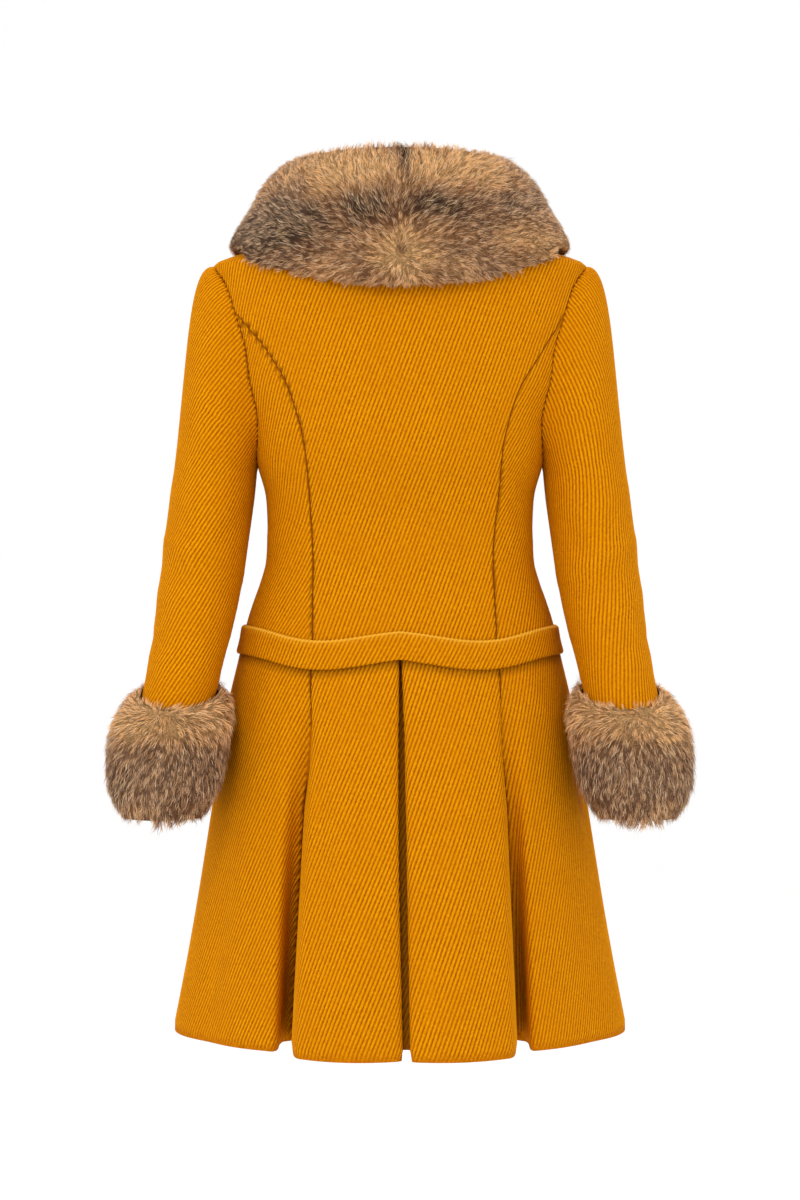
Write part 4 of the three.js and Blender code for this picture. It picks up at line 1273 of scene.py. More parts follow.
@dataclass
class Sleeves:
    """The two set-in sleeves."""

    shape: SleeveSurface = field(default_factory=SleeveSurface)
    step: float = 10.0
    hidden_step: float = 18.0
    cuff_top: float = -486
    hem: float = -620
    left_lean: float = 29.0
    right_lean: float = -16
    right_turn: float = 21.6
    right_turns_at: tuple[float, float] = (120, 330)
    creases: tuple[Crease, ...] = (
        Crease(196, -262, 52, 80, 18, -1.9), Crease(206, -300, 64, 76, 16, 1.5),
        Crease(214, -352, 66, 92, 18, 2.2), Crease(208, -378, 72, 80, 15, -1.8),
        Crease(222, -410, 60, 80, 16, 1.7), Crease(232, -446, 70, 70, 14, -1.5),
        Crease(238, -470, 64, 60, 13, 1.4), Crease(176, -330, -40, 70, 16, -1.5),
        Crease(205, -180, 4, 120, 26, 1.4), Crease(192, -330, -60, 80, 16, 1.6, False),
        Crease(200, -372, -66, 80, 15, -1.6, False))

    def leans(self, side: Side, z: float) -> float:
        """How far the ribs lean at a height of a sleeve."""
        if side is Side.LEFT:
            return self.left_lean
        return float(self.right_lean + self.right_turn * smooth_rise(-z, *self.right_turns_at))

    def rows(self, side: Side) -> list[Row]:
        """The rows of a sleeve from the shoulder tip down."""
        shape, rows = self.shape, []
        levels = [(z, shape.tilt) for z in (*CAP_TOP_LEVELS, *np.arange(*CAP_LEVELS))]
        levels += [(CAP_LAST + (shape.top - CAP_LAST) * t, shape.tilt * (1 - t))
                   for t in (0.15, 0.35, 0.6, 0.85)]
        even = spread(0, 1, SLEEVE_SAMPLES)
        for height, tilt in levels:
            cut = shape.cap_row(height, tilt)
            open_row = float(np.linalg.norm(cut[0] - cut[-1]) > 1)
            shares = np.linspace(0, 1, len(cut))
            points = np.stack([np.interp(even, shares, cut[:, i]) for i in range(3)], axis=1)
            lean = self.leans(side, float(points[:, 2].mean()))
            rows.append(Row(mirror(points, side), lean, 0.5, open_row))
        heights = rows_between((shape.top, -300, -345, -390, -437, self.cuff_top), self.step)
        heights += rows_between((self.cuff_top, self.hem), self.hidden_step)[1:]
        for z in heights:
            rows.append(Row(mirror(shape.ring(z, shape.turns), side), self.leans(side, z), 0.5, 0.0))
        return rows

    def pieces(self) -> list[ClothPiece]:
        """Both sleeves."""
        made = []
        for side in Side:
            creases = tuple(replace(crease, x=crease.x * side.value, lean=crease.lean * side.value)
                            for crease in self.creases)
            panel = RibbedPanel(f"sleeve_{side.word}_cloth", self.rows(side), -side.value, creases=creases)
            made.append(ClothPiece(panel, f"sleeve_{side.word}"))
        return made


# ---------------------------------------------------------------- the fur
def grid_faces(rows: int, across: int, wrap: bool) -> Array:
    """The triangles of a grid of points, wound row, next in the row, row below."""
    count = across if wrap else across - 1
    i, j = np.meshgrid(np.arange(rows - 1), np.arange(count), indexing="ij")
    k = (j + 1) % across
    a, b, c, d = i * across + j, i * across + k, (i + 1) * across + k, (i + 1) * across + j
    return np.concatenate([np.stack([a, b, c], -1).reshape(-1, 3), np.stack([a, c, d], -1).reshape(-1, 3)])


def shell_of(grid: Array, thickness: float, wrap: bool) -> tuple[Array, Array]:
    """A thin closed shell behind a grid of points.

    Args:
        grid: The outer side's points, by row.
        thickness: How thick the shell is.
        wrap: Whether each row closes on itself.

    Returns:
        The points, outer ones first, and the triangles.
    """
    rows, across = grid.shape[:2]
    outer = grid.reshape(-1, 3)
    faces = grid_faces(rows, across, wrap)
    normals = vertex_normals(outer, faces)
    inner = outer - normals * thickness
    count = len(outer)
    edges = [(np.arange(across), True), ((rows - 1) * across + np.arange(across), False)]
    if not wrap:
        edges += [(np.arange(rows) * across, False), (np.arange(rows) * across + across - 1, True)]
    strips = [faces, faces[:, ::-1] + count]
    for line, turned in edges:
        first = line if wrap else line[:-1]
        second = np.roll(line, -1) if wrap else line[1:]
        quads = np.concatenate([np.stack([second, first, first + count], -1),
                                np.stack([second, first + count, second + count], -1)])
        strips.append(quads if turned else quads[:, ::-1])
    return np.concatenate([outer, inner]), np.concatenate(strips)


@dataclass(frozen=True)
class HairLock:
    """A small lock of hairs that leave the pelt side by side and lean one way.

    Each hair is a ribbon. Lengths are shares of a hair's own, and the spread is in millimetres.
    """

    hairs: int = 8
    spread: float = 2.6
    length: float = 1.0
    lift: float = 0.46
    gather: float = 0.45
    half_width: float = 0.022
    seed: int = 1

    def build(self, scale: float) -> bpy.types.Object:
        """Builds the lock of hairs of a length in millimetres: it rises to +Z and leans to +X."""
        ribbon = ((0.0, 1.0), (0.5, 0.9), (1.0, 0.0))
        draw = np.random.default_rng(self.seed)
        verts, faces, along, strand = [], [], [], []
        for _ in range(self.hairs):
            root = draw.normal(0, self.spread / 2, 2)
            long = scale * self.length * draw.uniform(0.72, 1.12)
            lift = self.lift * draw.uniform(0.65, 1.3)
            lean_side = draw.normal(0, 0.16) * long
            start = len(verts)
            strand += [draw.random()] * 5
            roll = draw.uniform(-0.9, 0.9)
            for t, width in ribbon:
                x = root[0] * (1 - self.gather * t) + long * (0.62 * t + 0.34 * t * t)
                y = root[1] * (1 - self.gather * t) + lean_side * t * t
                z = long * lift * (1.75 * t - 0.85 * t * t)
                if width == 0:
                    verts.append((x, y, z))
                    along.append(t)
                    continue
                half = self.half_width * scale * width
                for edge in (-half, half):
                    verts.append((x, y + edge * math.cos(roll), z + edge * math.sin(roll)))
                    along.append(t)
            faces += [(start, start + 1, start + 3), (start, start + 3, start + 2),
                      (start + 2, start + 3, start + 4)]
        mesh = bpy.data.meshes.new("hair_lock")
        mesh.from_pydata((np.array(verts) * MM).tolist(), [], faces)
        for name, values in (("along", along), ("strand", strand)):
            mesh.attributes.new(name, "FLOAT", "POINT").data.foreach_set("value", values)
        mesh.shade_smooth()
        return bpy.data.objects.new("hair_lock", mesh)


class HairField:
    """A Geometry Nodes tree that plants locks of hair over a carrier mesh.

    The carrier's points say how densely the hair grows there (cover), which way it lies (lay),
    how long it is (long) and the colour of its pelt (pelt).
    """

    TINT_SEED, RUFFLE_SEED, SIZE_SEED, PICK_SEED = 11, 12, 13, 14

    def __init__(self, name: str, locks: list[bpy.types.Object], finish: Finish) -> None:
        """Builds the tree, which plants one of the locks at each point."""
        self.tree = bpy.data.node_groups.new(name, "GeometryNodeTree")
        face = self.tree.interface
        face.new_socket("Geometry", in_out="INPUT", socket_type="NodeSocketGeometry")
        self.density_id = face.new_socket("Locks per square metre", in_out="INPUT",
                                          socket_type="NodeSocketFloat").identifier
        self.ruffle_id = face.new_socket("Ruffle", in_out="INPUT", socket_type="NodeSocketFloat").identifier
        self.seed_id = face.new_socket("Seed", in_out="INPUT", socket_type="NodeSocketInt").identifier
        face.new_socket("Geometry", in_out="OUTPUT", socket_type="NodeSocketGeometry")
        given = self.add("NodeGroupInput")
        density = self.add("ShaderNodeMath", {"operation": "MULTIPLY"},
                           {0: given.outputs["Locks per square metre"], 1: self.named("cover")})
        points = self.add("GeometryNodeDistributePointsOnFaces", {"distribute_method": "RANDOM"}, {
            "Mesh": given.outputs["Geometry"], "Density": density.outputs[0],
            "Seed": given.outputs["Seed"]})
        tinted = self.store(points.outputs["Points"], "tint", self.random("FLOAT", 0.0, 1.0, self.TINT_SEED))
        faced = self.store(tinted, "facing", points.outputs["Normal"], "FLOAT_VECTOR")
        strayed = self.random("FLOAT_VECTOR", (-1, -1, -1), (1, 1, 1), self.RUFFLE_SEED)
        ruffled = self.add("ShaderNodeVectorMath", {"operation": "SCALE"}, {
            0: strayed, "Scale": given.outputs["Ruffle"]})
        lay = self.add("ShaderNodeVectorMath", {"operation": "ADD"},
                       {0: self.named("lay", "FLOAT_VECTOR"), 1: ruffled.outputs[0]})
        turn = self.add("FunctionNodeAxesToRotation", {"primary_axis": "Z", "secondary_axis": "X"}, {
            0: self.named("facing", "FLOAT_VECTOR"), 1: lay.outputs[0]})
        size = self.add("ShaderNodeMath", {"operation": "MULTIPLY"},
                        {0: self.random("FLOAT", 0.78, 1.18, self.SIZE_SEED), 1: self.named("long")})
        joined = self.add("GeometryNodeJoinGeometry")
        for lock in locks:
            info = self.add("GeometryNodeObjectInfo", {}, {"As Instance": True})
            info.inputs["Object"].default_value = lock
            self.tree.links.new(info.outputs["Geometry"], joined.inputs[0])
        planted = self.add("GeometryNodeInstanceOnPoints", {}, {
            "Points": faced, "Instance": joined.outputs[0], "Pick Instance": True,
            "Instance Index": self.random("INT", 0, len(locks) - 1, self.PICK_SEED),
            "Rotation": turn.outputs[0], "Scale": size.outputs[0]})
        real = self.add("GeometryNodeRealizeInstances", {}, {0: planted.outputs[0]})
        dressed = self.add("GeometryNodeSetMaterial", {}, {
            "Geometry": real.outputs[0], "Material": finish.material()})
        result = self.add("NodeGroupOutput")
        self.tree.links.new(dressed.outputs[0], result.inputs["Geometry"])

    def add(self, kind: str, settings: dict | None = None, inputs: dict | None = None) -> bpy.types.Node:
        """Adds a node to the tree."""
        return add_node(self.tree, kind, settings or {}, inputs or {})

    def named(self, name: str, kind: str = "FLOAT") -> bpy.types.NodeSocket:
        """The output of a named attribute."""
        made = self.add("GeometryNodeInputNamedAttribute", {"data_type": kind}, {"Name": name})
        return next(out for out in made.outputs if out.enabled and out.name == "Attribute")

    def store(self, geometry: bpy.types.NodeSocket, name: str, value: bpy.types.NodeSocket,
              kind: str = "FLOAT") -> bpy.types.NodeSocket:
        """Stores a value on every point."""
        made = self.add("GeometryNodeStoreNamedAttribute", {"data_type": kind, "domain": "POINT"},
                        {"Geometry": geometry, "Name": name})
        target = next(put for put in made.inputs if put.enabled and put.name == "Value")
        self.tree.links.new(value, target)
        return made.outputs[0]

    def random(self, kind: str, low: float | tuple, high: float | tuple, seed: int) -> bpy.types.NodeSocket:
        """A random value with a fixed seed."""
        made = self.add("FunctionNodeRandomValue", {"data_type": kind})
        values = {"Min": low, "Max": high, "Seed": seed}
        for put in made.inputs:
            if put.enabled and put.name in values:
                put.default_value = values[put.name]
        return next(out for out in made.outputs if out.enabled)

    def grow(self, carrier: bpy.types.Object, name: str, density: float, ruffle: float,
             seed: int) -> bpy.types.Object:
        """Grows the hair over a carrier, as a plain mesh object.

        Args:
            carrier: The mesh that says where and how the hair grows.
            name: The name of the result.
            density: Locks per square metre.
            ruffle: How far the locks stray from their lay.
            seed: The seed of the planting.

        Returns:
            The hair.
        """
        modifier = carrier.modifiers.new("hair", "NODES")
        modifier.node_group = self.tree
        modifier[self.density_id] = float(density)
        modifier[self.ruffle_id] = float(ruffle)
        modifier[self.seed_id] = int(seed)
        graph = bpy.context.evaluated_depsgraph_get()
        mesh = bpy.data.meshes.new_from_object(carrier.evaluated_get(graph), depsgraph=graph)
        carrier.modifiers.remove(modifier)
        mesh.name = name
        keep = {"along", "strand", "tint", "pelt", "position", "sharp_face", "material_index"}
        for layer in list(mesh.attributes):
            if layer.name not in keep and not layer.name.startswith(".") and not layer.is_required:
                mesh.attributes.remove(layer)
        piece = bpy.data.objects.new(name, mesh)
        bpy.context.scene.collection.objects.link(piece)
        return piece


@dataclass(frozen=True)
class FurTones:
    """The colours that the fur runs through."""

    gold: tuple = linear(255, 198, 130)
    tan: tuple = linear(224, 164, 106)
    brown: tuple = linear(158, 106, 70)
    dark: tuple = linear(66, 40, 26)
    grey: tuple = linear(190, 156, 128)

    def mix(self, warm: Array, grey: Array) -> Array:
        """The colour for a warmth from 0, dark, to 1, golden, and a share of grey."""
        stops = np.array([self.dark[:3], self.brown[:3], self.tan[:3], self.gold[:3]])
        colour = np.stack([np.interp(warm, (0, 0.35, 0.7, 1), stops[:, i]) for i in range(3)], axis=1)
        return colour + (np.array(self.grey[:3]) - colour) * np.clip(grey, 0, 1)[:, None]


@dataclass
class FurPiece:
    """A pelt with the hair that grows on it."""

    name: str
    node: str
    pelt: Array
    lay: Array
    colour: Array
    cover: Array
    long: Array
    wrap: bool
    thickness: float = 1.6
    density: float = 53000
    ruffle: float = 0.4
    parts: int = 1
    flat: tuple[float, float] = (0.8, 0.24)
    most_filled: float = 0.99
    first_seed: int = 40

    def make(self, hair: HairField, pelt_finish: Finish) -> None:
        """Builds the pelt and its hair, and hides the part that they replace."""
        across = self.pelt.shape[1]
        verts, faces = shell_of(self.pelt, self.thickness, self.wrap)
        if np.sum(face_normals(verts, faces) * verts[faces].mean(axis=1)) < 0:
            faces = faces[:, ::-1]
        colours = np.concatenate([self.colour.reshape(-1, 3)] * 2)
        pelt = make_object(f"{self.name}_pelt", verts, faces, pelt_finish, {"pelt": colours}, 80)
        # Half of all the triangles' area, since the shell has two sides.
        area = np.linalg.norm(face_normals(verts, faces), axis=1).sum() / 4 * MM * MM
        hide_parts(self.node)
        width, length = self.flat
        length = max(length, area / width / self.most_filled)
        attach(pelt, "root")
        cuts = np.linspace(0, across if self.wrap else across - 1, self.parts + 1).round().astype(int)
        for part, (first, last) in enumerate(zip(cuts, cuts[1:])):
            self.grow_part(hair, np.arange(first, last + 1) % across, part)

    def grow_part(self, hair: HairField, columns: Array, part: int) -> None:
        """Grows the hair on some of the pelt's columns."""
        faces = grid_faces(len(self.pelt), len(columns), False)
        points = self.pelt.reshape(-1, 3)
        whole = vertex_normals(points, grid_faces(*self.pelt.shape[:2], self.wrap))
        if np.sum(whole * (points - points.mean(axis=0))) < 0:
            faces = faces[:, ::-1]
        grids = {"place": self.pelt, "lay": self.lay, "pelt": self.colour, "cover": self.cover,
                 "long": self.long}
        values = {name: grid[:, columns].reshape(-1, *grid.shape[2:]) for name, grid in grids.items()}
        carrier = make_object("carrier", values.pop("place"), faces, FurPelt(), values)
        piece = hair.grow(carrier, f"{self.name}_hair_{part + 1}", self.density, self.ruffle,
                          self.first_seed + part)
        bpy.data.objects.remove(carrier)
        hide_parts(self.node)
        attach(piece, "root")
        LOG.info("%s: %d triangles", piece.name, triangle_count(piece))


# The collar's rings from its lower edge up over the roll and down inside: half width, reach
# behind and in front, and height at the side, behind and in front.
COLLAR_ROWS = (
    (176, 136, 127, -36, -78, -142), (179, 143, 130, -27, -58, -114), (172, 142, 127, -9, -28, -76),
    (161, 134, 118, 8, 4, -36), (147, 120, 107, 33, 34, -5), (128, 104, 96, 53, 56, 17),
    (106, 90, 86, 64, 67, 28), (85, 76, 74, 62, 65, 25), (72, 62, 63, 40, 46, 4), (71, 56, 58, 16, 18, -26),
)
# Patches of the collar behind: place across and up, spread across and up, warmth, share of grey.
COLLAR_PATCHES = (
    (59, 38, 48, 20, 0.75, -0.4), (-54, 38, 42, 20, 0.75, -0.4), (0, -50, 34, 26, 0.65, -0.4),
    (112, -18, 54, 26, -0.58, 0.1), (-122, 6, 40, 18, -0.25, 0.30), (-132, -34, 34, 14, 0.45, -0.2),
    (32, -4, 19, 15, -0.50, 0.0), (-30, 0, 21, 14, -0.50, 0.0), (-5, 47, 4, 16, -1.6, -0.4),
    (0, -50, 5, 5, -0.9, 0.0), (70, -62, 26, 10, 0.15, -0.1), (-74, -66, 26, 12, 0.1, 0.1),
    (150, -30, 22, 20, -0.1, 0.25),
)


@dataclass
class Collar:
    """The fur collar: a pelt rolled over the neck and shoulders, open at the centre front."""

    surface: CoatSurface = field(default_factory=lambda: COAT)
    squareness: float = 2.15
    end_degrees: float = 2.6
    edge_side: float = -38
    edge_back: float = -84
    edge_front: float = -150
    clearance: float = 3.8
    shoulder_clearance: float = 5.5
    hair_depth: float = 6.0
    columns: int = 256
    whorl_ring: float = 1.25
    ring_height: float = 22

    def __post_init__(self) -> None:
        """Sets up the curves through the rings."""
        rings = range(len(COLLAR_ROWS))
        self.rings = [Curve(list(rings), [row[i] for row in COLLAR_ROWS]) for i in range(6)]

    def outer(self, angle: Array, ring: Array) -> Array:
        """A point on the fur's outer surface."""
        half, back, front, z_side, z_back, z_front = (curve(ring) for curve in self.rings)
        sine, cosine = np.sin(angle), np.cos(angle)
        power = 2 / self.squareness
        reach = np.where(cosine < 0, front, back)
        end = np.where(cosine < 0, z_front, z_back)
        return np.stack([half * signed_power(sine, power), reach * signed_power(cosine, power),
                         z_side + (end - z_side) * np.abs(cosine) ** 2.6], axis=-1)

    def tangents(self, angle: Array, ring: Array) -> tuple[Array, Array, Array]:
        """The unit vectors round the collar, up over it, and out of it."""
        around = unit(self.outer(angle + TURN_STEP, ring) - self.outer(angle - TURN_STEP, ring))
        up = unit(self.outer(angle, ring + RING_STEP) - self.outer(angle, ring - RING_STEP))
        return around, up, unit(np.cross(up, around))

    def under(self, angle: Array, part: float) -> Array:
        """A point just over the cloth beneath the collar."""
        surface = self.surface
        rim = surface.front_row(0.0, np.abs(angle))
        dip = np.abs(np.cos(angle)) ** 2.6
        end = np.where(np.cos(angle) < 0, self.edge_front, self.edge_back)
        lowest = self.edge_side + (end - self.edge_side) * dip
        z = rim - 4 + (lowest - rim + 4) * part
        x = surface.point(angle, z)[:, 0]
        lap = surface.lap_height(-x, Side.RIGHT) * (1 - smooth_rise(x, 24, 44))
        lap = np.where(np.cos(angle) < 0, lap, 0)
        across = surface.point(angle + FINE_TURN, z) - surface.point(angle - FINE_TURN, z)
        up = surface.point(angle, z + FINE_RISE) - surface.point(angle, z - FINE_RISE)
        room = self.clearance + self.shoulder_clearance * np.sin(angle) ** 4 + 0.6
        return surface.point(angle, z, lap) + unit(np.cross(up, across)) * room[:, None]

    def piece(self) -> FurPiece:
        """The pelt with its lay, colours and lengths."""
        reach = math.radians(180 - self.end_degrees)
        angles = spread(-reach, reach, self.columns)
        rings = spread(0, 9, 33)
        angle, ring = np.meshgrid(angles, rings)
        around, up, out = self.tangents(angle, np.clip(ring, 0.05, 8.95))
        thin = 1 - 0.6 * np.sin(angle) ** 4 * (1 - smooth_rise(ring, 0.5, 3))
        depth = self.hair_depth * thin * (1 - 0.45 * smooth_rise(ring, 7.5, 9))
        sink = np.where(ring < 0.7, 1 + 0.5 * (0.7 - ring), 1)
        face = self.outer(angle, ring) - out * (depth * sink)[..., None]
        face[0] += up[0] * 2.5
        below = [self.under(angles, part) for part in (0.62, 0.8, 0.93)]
        edge = below[-1] * 0.45 + face[0] * 0.55 + np.array([0, 0, -1.0])
        pelt = np.concatenate([np.array([*below, edge]), face])

        def extend(values: Array) -> Array:
            """Values for the rows below the rings too, which take those of the first ring."""
            return np.concatenate([values[:1]] * (len(below) + 1) + [values])

        behind = smooth_rise(np.cos(angle), -0.15, 0.35)
        height = (ring - self.whorl_ring) * self.ring_height
        x = face[..., 0]
        far = np.hypot(height, x) + 4
        rise = behind * height / far - (1 - behind) * 0.9 - 0.42 * np.sin(angle) ** 4
        rise = np.where(ring > 7.4, -np.abs(rise) - 0.3, rise)
        side = behind * x / far + (1 - behind) * 0.25 * np.sign(x)
        flat = face.reshape(-1, 3)
        swirl = [soft_noise(flat, size, seed).reshape(x.shape)
                 for size, seed in ((24, 3), (24, 4), (55, 5))]
        rise, side = rise + 0.42 * swirl[0], side + 0.42 * swirl[1] + 0.2 * swirl[2]
        lay = up * rise[..., None] + around * side[..., None]
        cover = np.ones_like(x)
        cover[0] = 0.8
        cover = cover * (1 - 0.4 * smooth_rise(ring, 8.2, 9))
        cover = np.concatenate([np.repeat([[0.3], [0.9], [1.0], [1.0]], x.shape[1], axis=1), cover])
        long = 1.0 + 0.12 * swirl[2] - 0.22 * smooth_rise(ring, 7.4, 9)
        long -= 0.42 * np.sin(angle) ** 4 * (1 - smooth_rise(ring, 1.5, 3.5))
        colour = self.colour(flat).reshape(*x.shape, 3)
        return FurPiece("collar", "collar", pelt, extend(lay), extend(colour), cover, extend(long),
                        False, parts=3, density=60000, ruffle=0.42, flat=(1.0, 0.26))

    @staticmethod
    def colour(points: Array) -> Array:
        """The fur's colour at each point."""
        warm = 0.48 + 0.22 * soft_noise(points, 42, 7) + 0.24 * soft_noise(points, 13, 8)
        grey = 0.1 + 0.25 * soft_noise(points, 33, 9) + 0.2 * soft_noise(points, 11, 10)
        behind = smooth_rise(points[:, 1], 0, 40)
        for x, z, wide, tall, heat, ash in COLLAR_PATCHES:
            at = bell(points[:, 0] - x, wide) * bell(points[:, 2] - z, tall) * behind
            warm += heat * at
            grey += ash * at
        return FurTones().mix(np.clip(warm, 0, 1), np.clip(grey, 0, 0.8))


# How far the cuff's fur stands off the sleeve at each height, from its top edge to its hem.
CUFF_ROWS = ((-486, 3), (-491, 14), (-502, 22), (-520, 27.5), (-546, 29), (-572, 27.5), (-596, 24),
             (-613, 18), (-624, 10), (-628, 2))


@dataclass
class Cuff:
    """A fur cuff round the end of a sleeve."""

    side: Side
    sleeve: SleeveSurface = field(default_factory=SleeveSurface)
    hem: float = -627
    tilt: float = 0.36
    clearance: float = 1.7
    hair_depth: float = 9.0
    squeeze: float = 0.9
    columns: int = 96
    whorl_x: float = 246
    whorl_z: float = -508

    def point(self, z: Array, turn: Array, out: Array) -> Array:
        """A point of the cuff, whose upper edge lies lower behind than in front."""
        share = np.clip((z - self.hem) / (CUFF_ROWS[0][0] - self.hem), 0, 1)
        behind = (self.sleeve.deep(z) + out) * np.sin(turn)
        return self.sleeve.ring(z - self.tilt * share * behind, turn, out + self.clearance)

    def piece(self) -> FurPiece:
        """The pelt with its lay, colours and lengths."""
        steps = list(range(len(CUFF_ROWS)))
        height, stand = (Curve(steps, [row[i] for row in CUFF_ROWS]) for i in range(2))
        turns = np.linspace(0, 2 * math.pi, self.columns, endpoint=False)
        turn, row = np.meshgrid(turns, spread(0, 9, 30))
        middle = (CUFF_ROWS[0][0] + self.hem) / 2

        def surface(row: Array, turn: Array) -> Array:
            """The pelt's own surface."""
            z = middle + (height(row) - middle) * self.squeeze
            full = stand(row) * (1 - 0.2 * np.cos(turn) ** 2 * smooth_rise(row, 5.5, 8))
            depth = self.hair_depth * (1 - 0.4 * smooth_rise(row, 6, 8.5))
            return self.point(z, turn, np.maximum(full - depth, 0.9))

        pelt = surface(row, turn)
        around = unit(surface(row, turn + TURN_STEP) - surface(row, turn - TURN_STEP))
        below, above = (np.clip(row + step, 0, 9) for step in (RING_STEP, -RING_STEP))
        down = unit(surface(below, turn) - surface(above, turn))
        flat = pelt.reshape(-1, 3)
        swirl = [soft_noise(flat, size, seed).reshape(row.shape)
                 for size, seed in ((22, 13), (22, 14), (50, 15))]
        dx = pelt[..., 0] - self.whorl_x
        dz = pelt[..., 2] - self.whorl_z
        near = bell(dx, 60) * bell(dz, 42) * smooth_rise(pelt[..., 1], 40, 90)
        toward_x = around[..., 0]
        fall = 1.0 - 1.5 * (1 - smooth_rise(row, 0.4, 1.4)) + 0.3 * swirl[0]
        fall = fall + near * (-dz / 30 - 0.6)
        side = near * dx / 26 * np.sign(toward_x) + 0.32 * swirl[1]
        lay = down * fall[..., None] + around * side[..., None]
        warm = 0.5 + 0.2 * soft_noise(flat, 30, 17) + 0.2 * soft_noise(flat, 12, 18)
        z = flat[:, 2]
        warm += 0.5 * smooth_rise(z, -556, -528) - 0.22 * bell(z + 578, 26)
        grey = 0.15 + 0.2 * soft_noise(flat, 22, 19) + 0.25 * bell(z + 575, 30)
        grey -= 0.3 * smooth_rise(z, -550, -520)
        colour = FurTones().mix(np.clip(warm, 0, 1), np.clip(grey, 0, 0.7)).reshape(*row.shape, 3)
        cover = 1 - 0.1 * smooth_rise(row, 8.5, 9)
        long = 1.0 + 0.12 * swirl[2] - 0.25 * (1 - smooth_rise(row, 0, 1.2))
        long -= (0.42 - 0.8 * np.sin(turn) ** 4) * smooth_rise(row, 6.4, 8.6)
        if self.side is Side.RIGHT:
            pelt, lay = mirror(pelt, self.side)[:, ::-1], mirror(lay, self.side)[:, ::-1]
            colour, cover, long = colour[:, ::-1], cover[:, ::-1], long[:, ::-1]
        name = f"cuff_{self.side.word}"
        return FurPiece(name, name, pelt, lay, colour, cover, long, True, density=54000, ruffle=0.36,
                        flat=(0.46, 0.2))


# ---------------------------------------------------------------- buttons, light and camera
@dataclass
class Buttons:
    """The four domed buttons down the front, each on a short shank."""

    surface: CoatSurface = field(default_factory=lambda: COAT)
    heights: tuple[float, ...] = (-193, -280, -370, -520)
    seat: float = 0.9
    segments: int = 64
    profile: tuple[tuple[float, float], ...] = (
        (0, 0), (2.6, 0), (3, 0.4), (3, 2.6), (3.6, 3.0), (9.8, 3.1), (11.2, 3.4), (11.8, 3.9), (12, 4.5),
        (11.8, 5.2), (11.3, 5.8), (10.6, 6.15), (9.9, 6.1), (9.4, 5.85), (8.9, 5.95), (8.2, 6.5),
        (7.0, 7.0), (5.2, 7.5), (3.0, 7.85), (1.2, 7.98), (0, 8))

    def make(self, finish: Finish) -> None:
        """Turns each button and sets it on the front."""
        surface, lap = self.surface, self.surface.lap_rise
        for number, z in enumerate(self.heights, 1):
            at = surface.point(math.pi, z, lap)
            across = surface.point(math.pi + FINE_TURN, z, lap) - surface.point(math.pi - FINE_TURN, z, lap)
            up = surface.point(math.pi, z + FINE_RISE, lap) - surface.point(math.pi, z - FINE_RISE, lap)
            axis = unit(np.cross(up, across))
            side = unit(np.cross(axis, np.array([0, 0, 1.0])))
            rise = np.cross(side, axis)
            turns = np.linspace(0, 2 * math.pi, self.segments, endpoint=False)
            ring = np.cos(turns)[:, None] * side + np.sin(turns)[:, None] * rise
            body = self.profile[1:-1]
            centre = at + axis * self.seat
            verts = np.concatenate([centre + axis * height + ring * radius for radius, height in body])
            ends = [centre + axis * self.profile[end][1] for end in (0, -1)]
            verts = np.concatenate([verts, ends])
            faces = grid_faces(len(body), self.segments, True)
            n, k = len(verts), np.arange(self.segments)
            last = (len(body) - 1) * self.segments
            bottom = np.stack([np.roll(k, -1), k, np.full_like(k, n - 2)], axis=1)
            top = np.stack([last + k, last + np.roll(k, -1), np.full_like(k, n - 1)], axis=1)
            faces = np.concatenate([faces, bottom, top])
            flat = face_normals(verts, faces)
            if np.sum(flat * (verts[faces].mean(axis=1) - centre)) < 0:
                faces = faces[:, ::-1]
            piece = make_object(f"button_{number}_horn", verts, faces, finish, None, 60)
            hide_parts(f"button_{number}")
            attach(piece, "root")
            LOG.info("%s: %d triangles", piece.name, triangle_count(piece))


@dataclass(frozen=True)
class SoftLight:
    """A square soft light: its name, place, size, power and tint."""

    name: str
    place: tuple[float, float, float]
    size: float
    power: float
    tint: tuple[float, float, float] = (1.0, 1.0, 1.0)

    def hang(self, aim: Vector) -> None:
        """Hangs the light and turns it to a point."""
        data = bpy.data.lights.new(self.name, "AREA")
        data.shape, data.size, data.energy, data.color = "SQUARE", self.size, self.power, self.tint
        lamp = bpy.data.objects.new(self.name, data)
        lamp.location = self.place
        lamp.rotation_euler = (aim - Vector(self.place)).to_track_quat("-Z", "Y").to_euler()
        bpy.context.scene.collection.objects.link(lamp)


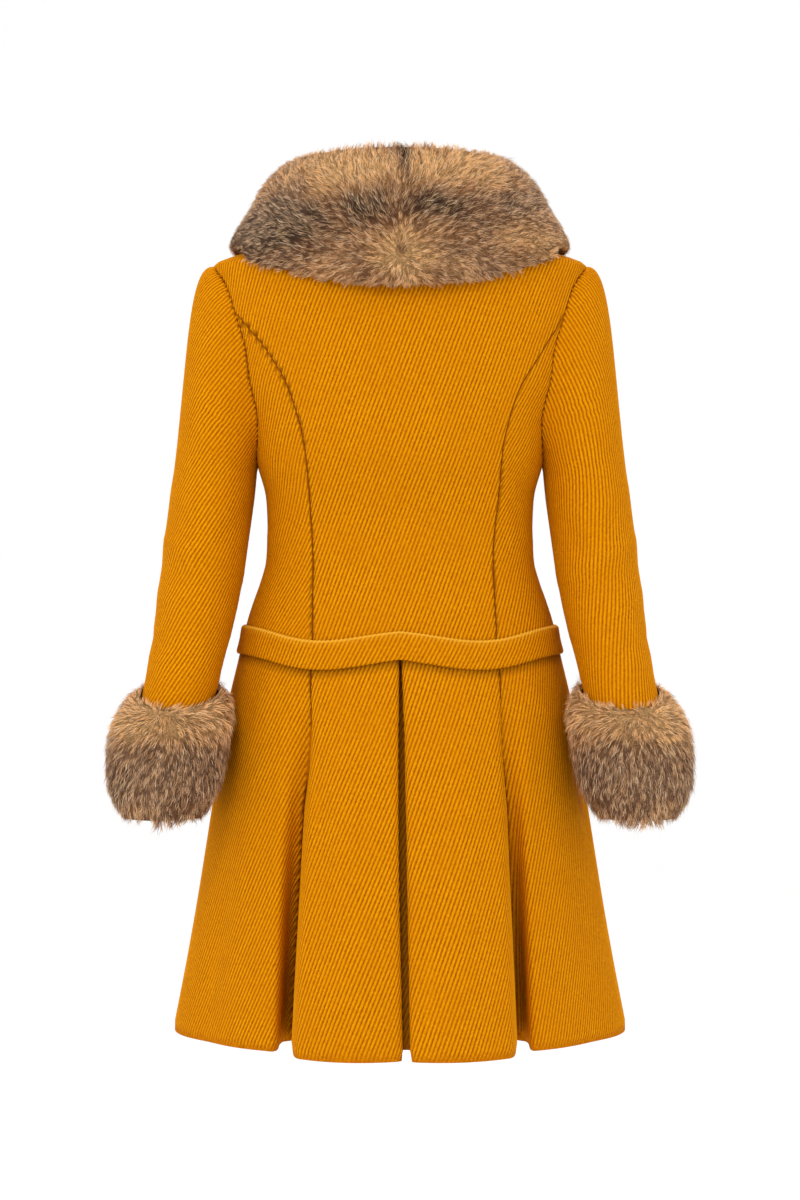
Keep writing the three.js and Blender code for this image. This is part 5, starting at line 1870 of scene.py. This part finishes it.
@dataclass
class Studio:
    """A plain pale floor that curves up all round, soft light and the camera."""

    floor: float = -1.45
    flat_radius: float = 4.2
    curve: float = 2.6
    wall_top: float = 3.6
    distance: float = 3.0
    eye: float = -0.399
    lens: float = 85.7
    lights: tuple[SoftLight, ...] = (
        SoftLight("key_light", (0.9, 2.6, 1.7), 1.1, 26),
        SoftLight("front_light", (-0.9, -2.6, 1.7), 1.1, 26),
        SoftLight("top_light", (0.0, 0.2, 2.4), 1.4, 8),
    )

    def make(self) -> None:
        """Builds the floor, the lights, the sky and the camera."""
        turns = np.linspace(0, 2 * math.pi, 96, endpoint=False)
        rings = [(r, 0.0) for r in (0.02, 1.5, 3.0, self.flat_radius)]
        rings += [(self.flat_radius + self.curve * math.sin(t), self.curve * (1 - math.cos(t)))
                  for t in spread(0, math.pi / 2, 14)[1:]]
        rings.append((self.flat_radius + self.curve, self.wall_top))
        grid = np.array([[(r * math.cos(t), r * math.sin(t), self.floor + h) for t in turns]
                         for r, h in rings])
        floor = make_object("studio_floor", grid.reshape(-1, 3) / MM,
                            grid_faces(len(rings), len(turns), True)[:, ::-1], PaleFloor(), None, 80)
        for light in self.lights:
            light.hang(Vector((0, 0, self.eye)))
        world = bpy.data.worlds.new("pale_sky")
        world.use_nodes = True
        sky = world.node_tree.nodes["Background"]
        sky.inputs["Color"].default_value = (1.0, 1.0, 1.0, 1.0)
        sky.inputs["Strength"].default_value = 1.0
        bpy.context.scene.world = world
        bpy.context.scene.view_settings.view_transform = "Standard"
        data = bpy.data.cameras.new("camera")
        data.sensor_width, data.lens = 36, self.lens
        data.clip_end = 50
        camera = bpy.data.objects.new("camera", data)
        camera.location = (0, self.distance, self.eye)
        camera.rotation_euler = (math.pi / 2, 0, math.pi)
        bpy.context.scene.collection.objects.link(camera)
        bpy.context.scene.camera = camera


def main() -> None:
    """Builds the coat, piece by piece, and lights it."""
    logging.basicConfig(level=logging.INFO, format="%(name)s: %(message)s")
    Studio().make()
    cloth = RibbedCloth()
    for part in (Bodice(), Skirt(), Belt(), Sleeves()):
        for piece in part.pieces():
            axis = np.zeros(3)
            if isinstance(part, Sleeves):
                axis = SLEEVE_AXIS * [-piece.panel.toward_right, 1, 1]
            piece.make(cloth, axis)
    locks = [HairLock(seed=5 + i, length=0.9 + 0.1 * i).build(11.5) for i in range(3)]
    hair = HairField("hair", locks, FurHair())
    pelt = FurPelt()
    for fur in (Collar().piece(), *(Cuff(side).piece() for side in Side)):
        fur.make(hair, pelt)
    for lock in locks:
        bpy.data.objects.remove(lock)
    Buttons().make(HornButton())


if __name__ == "__main__":
    main()
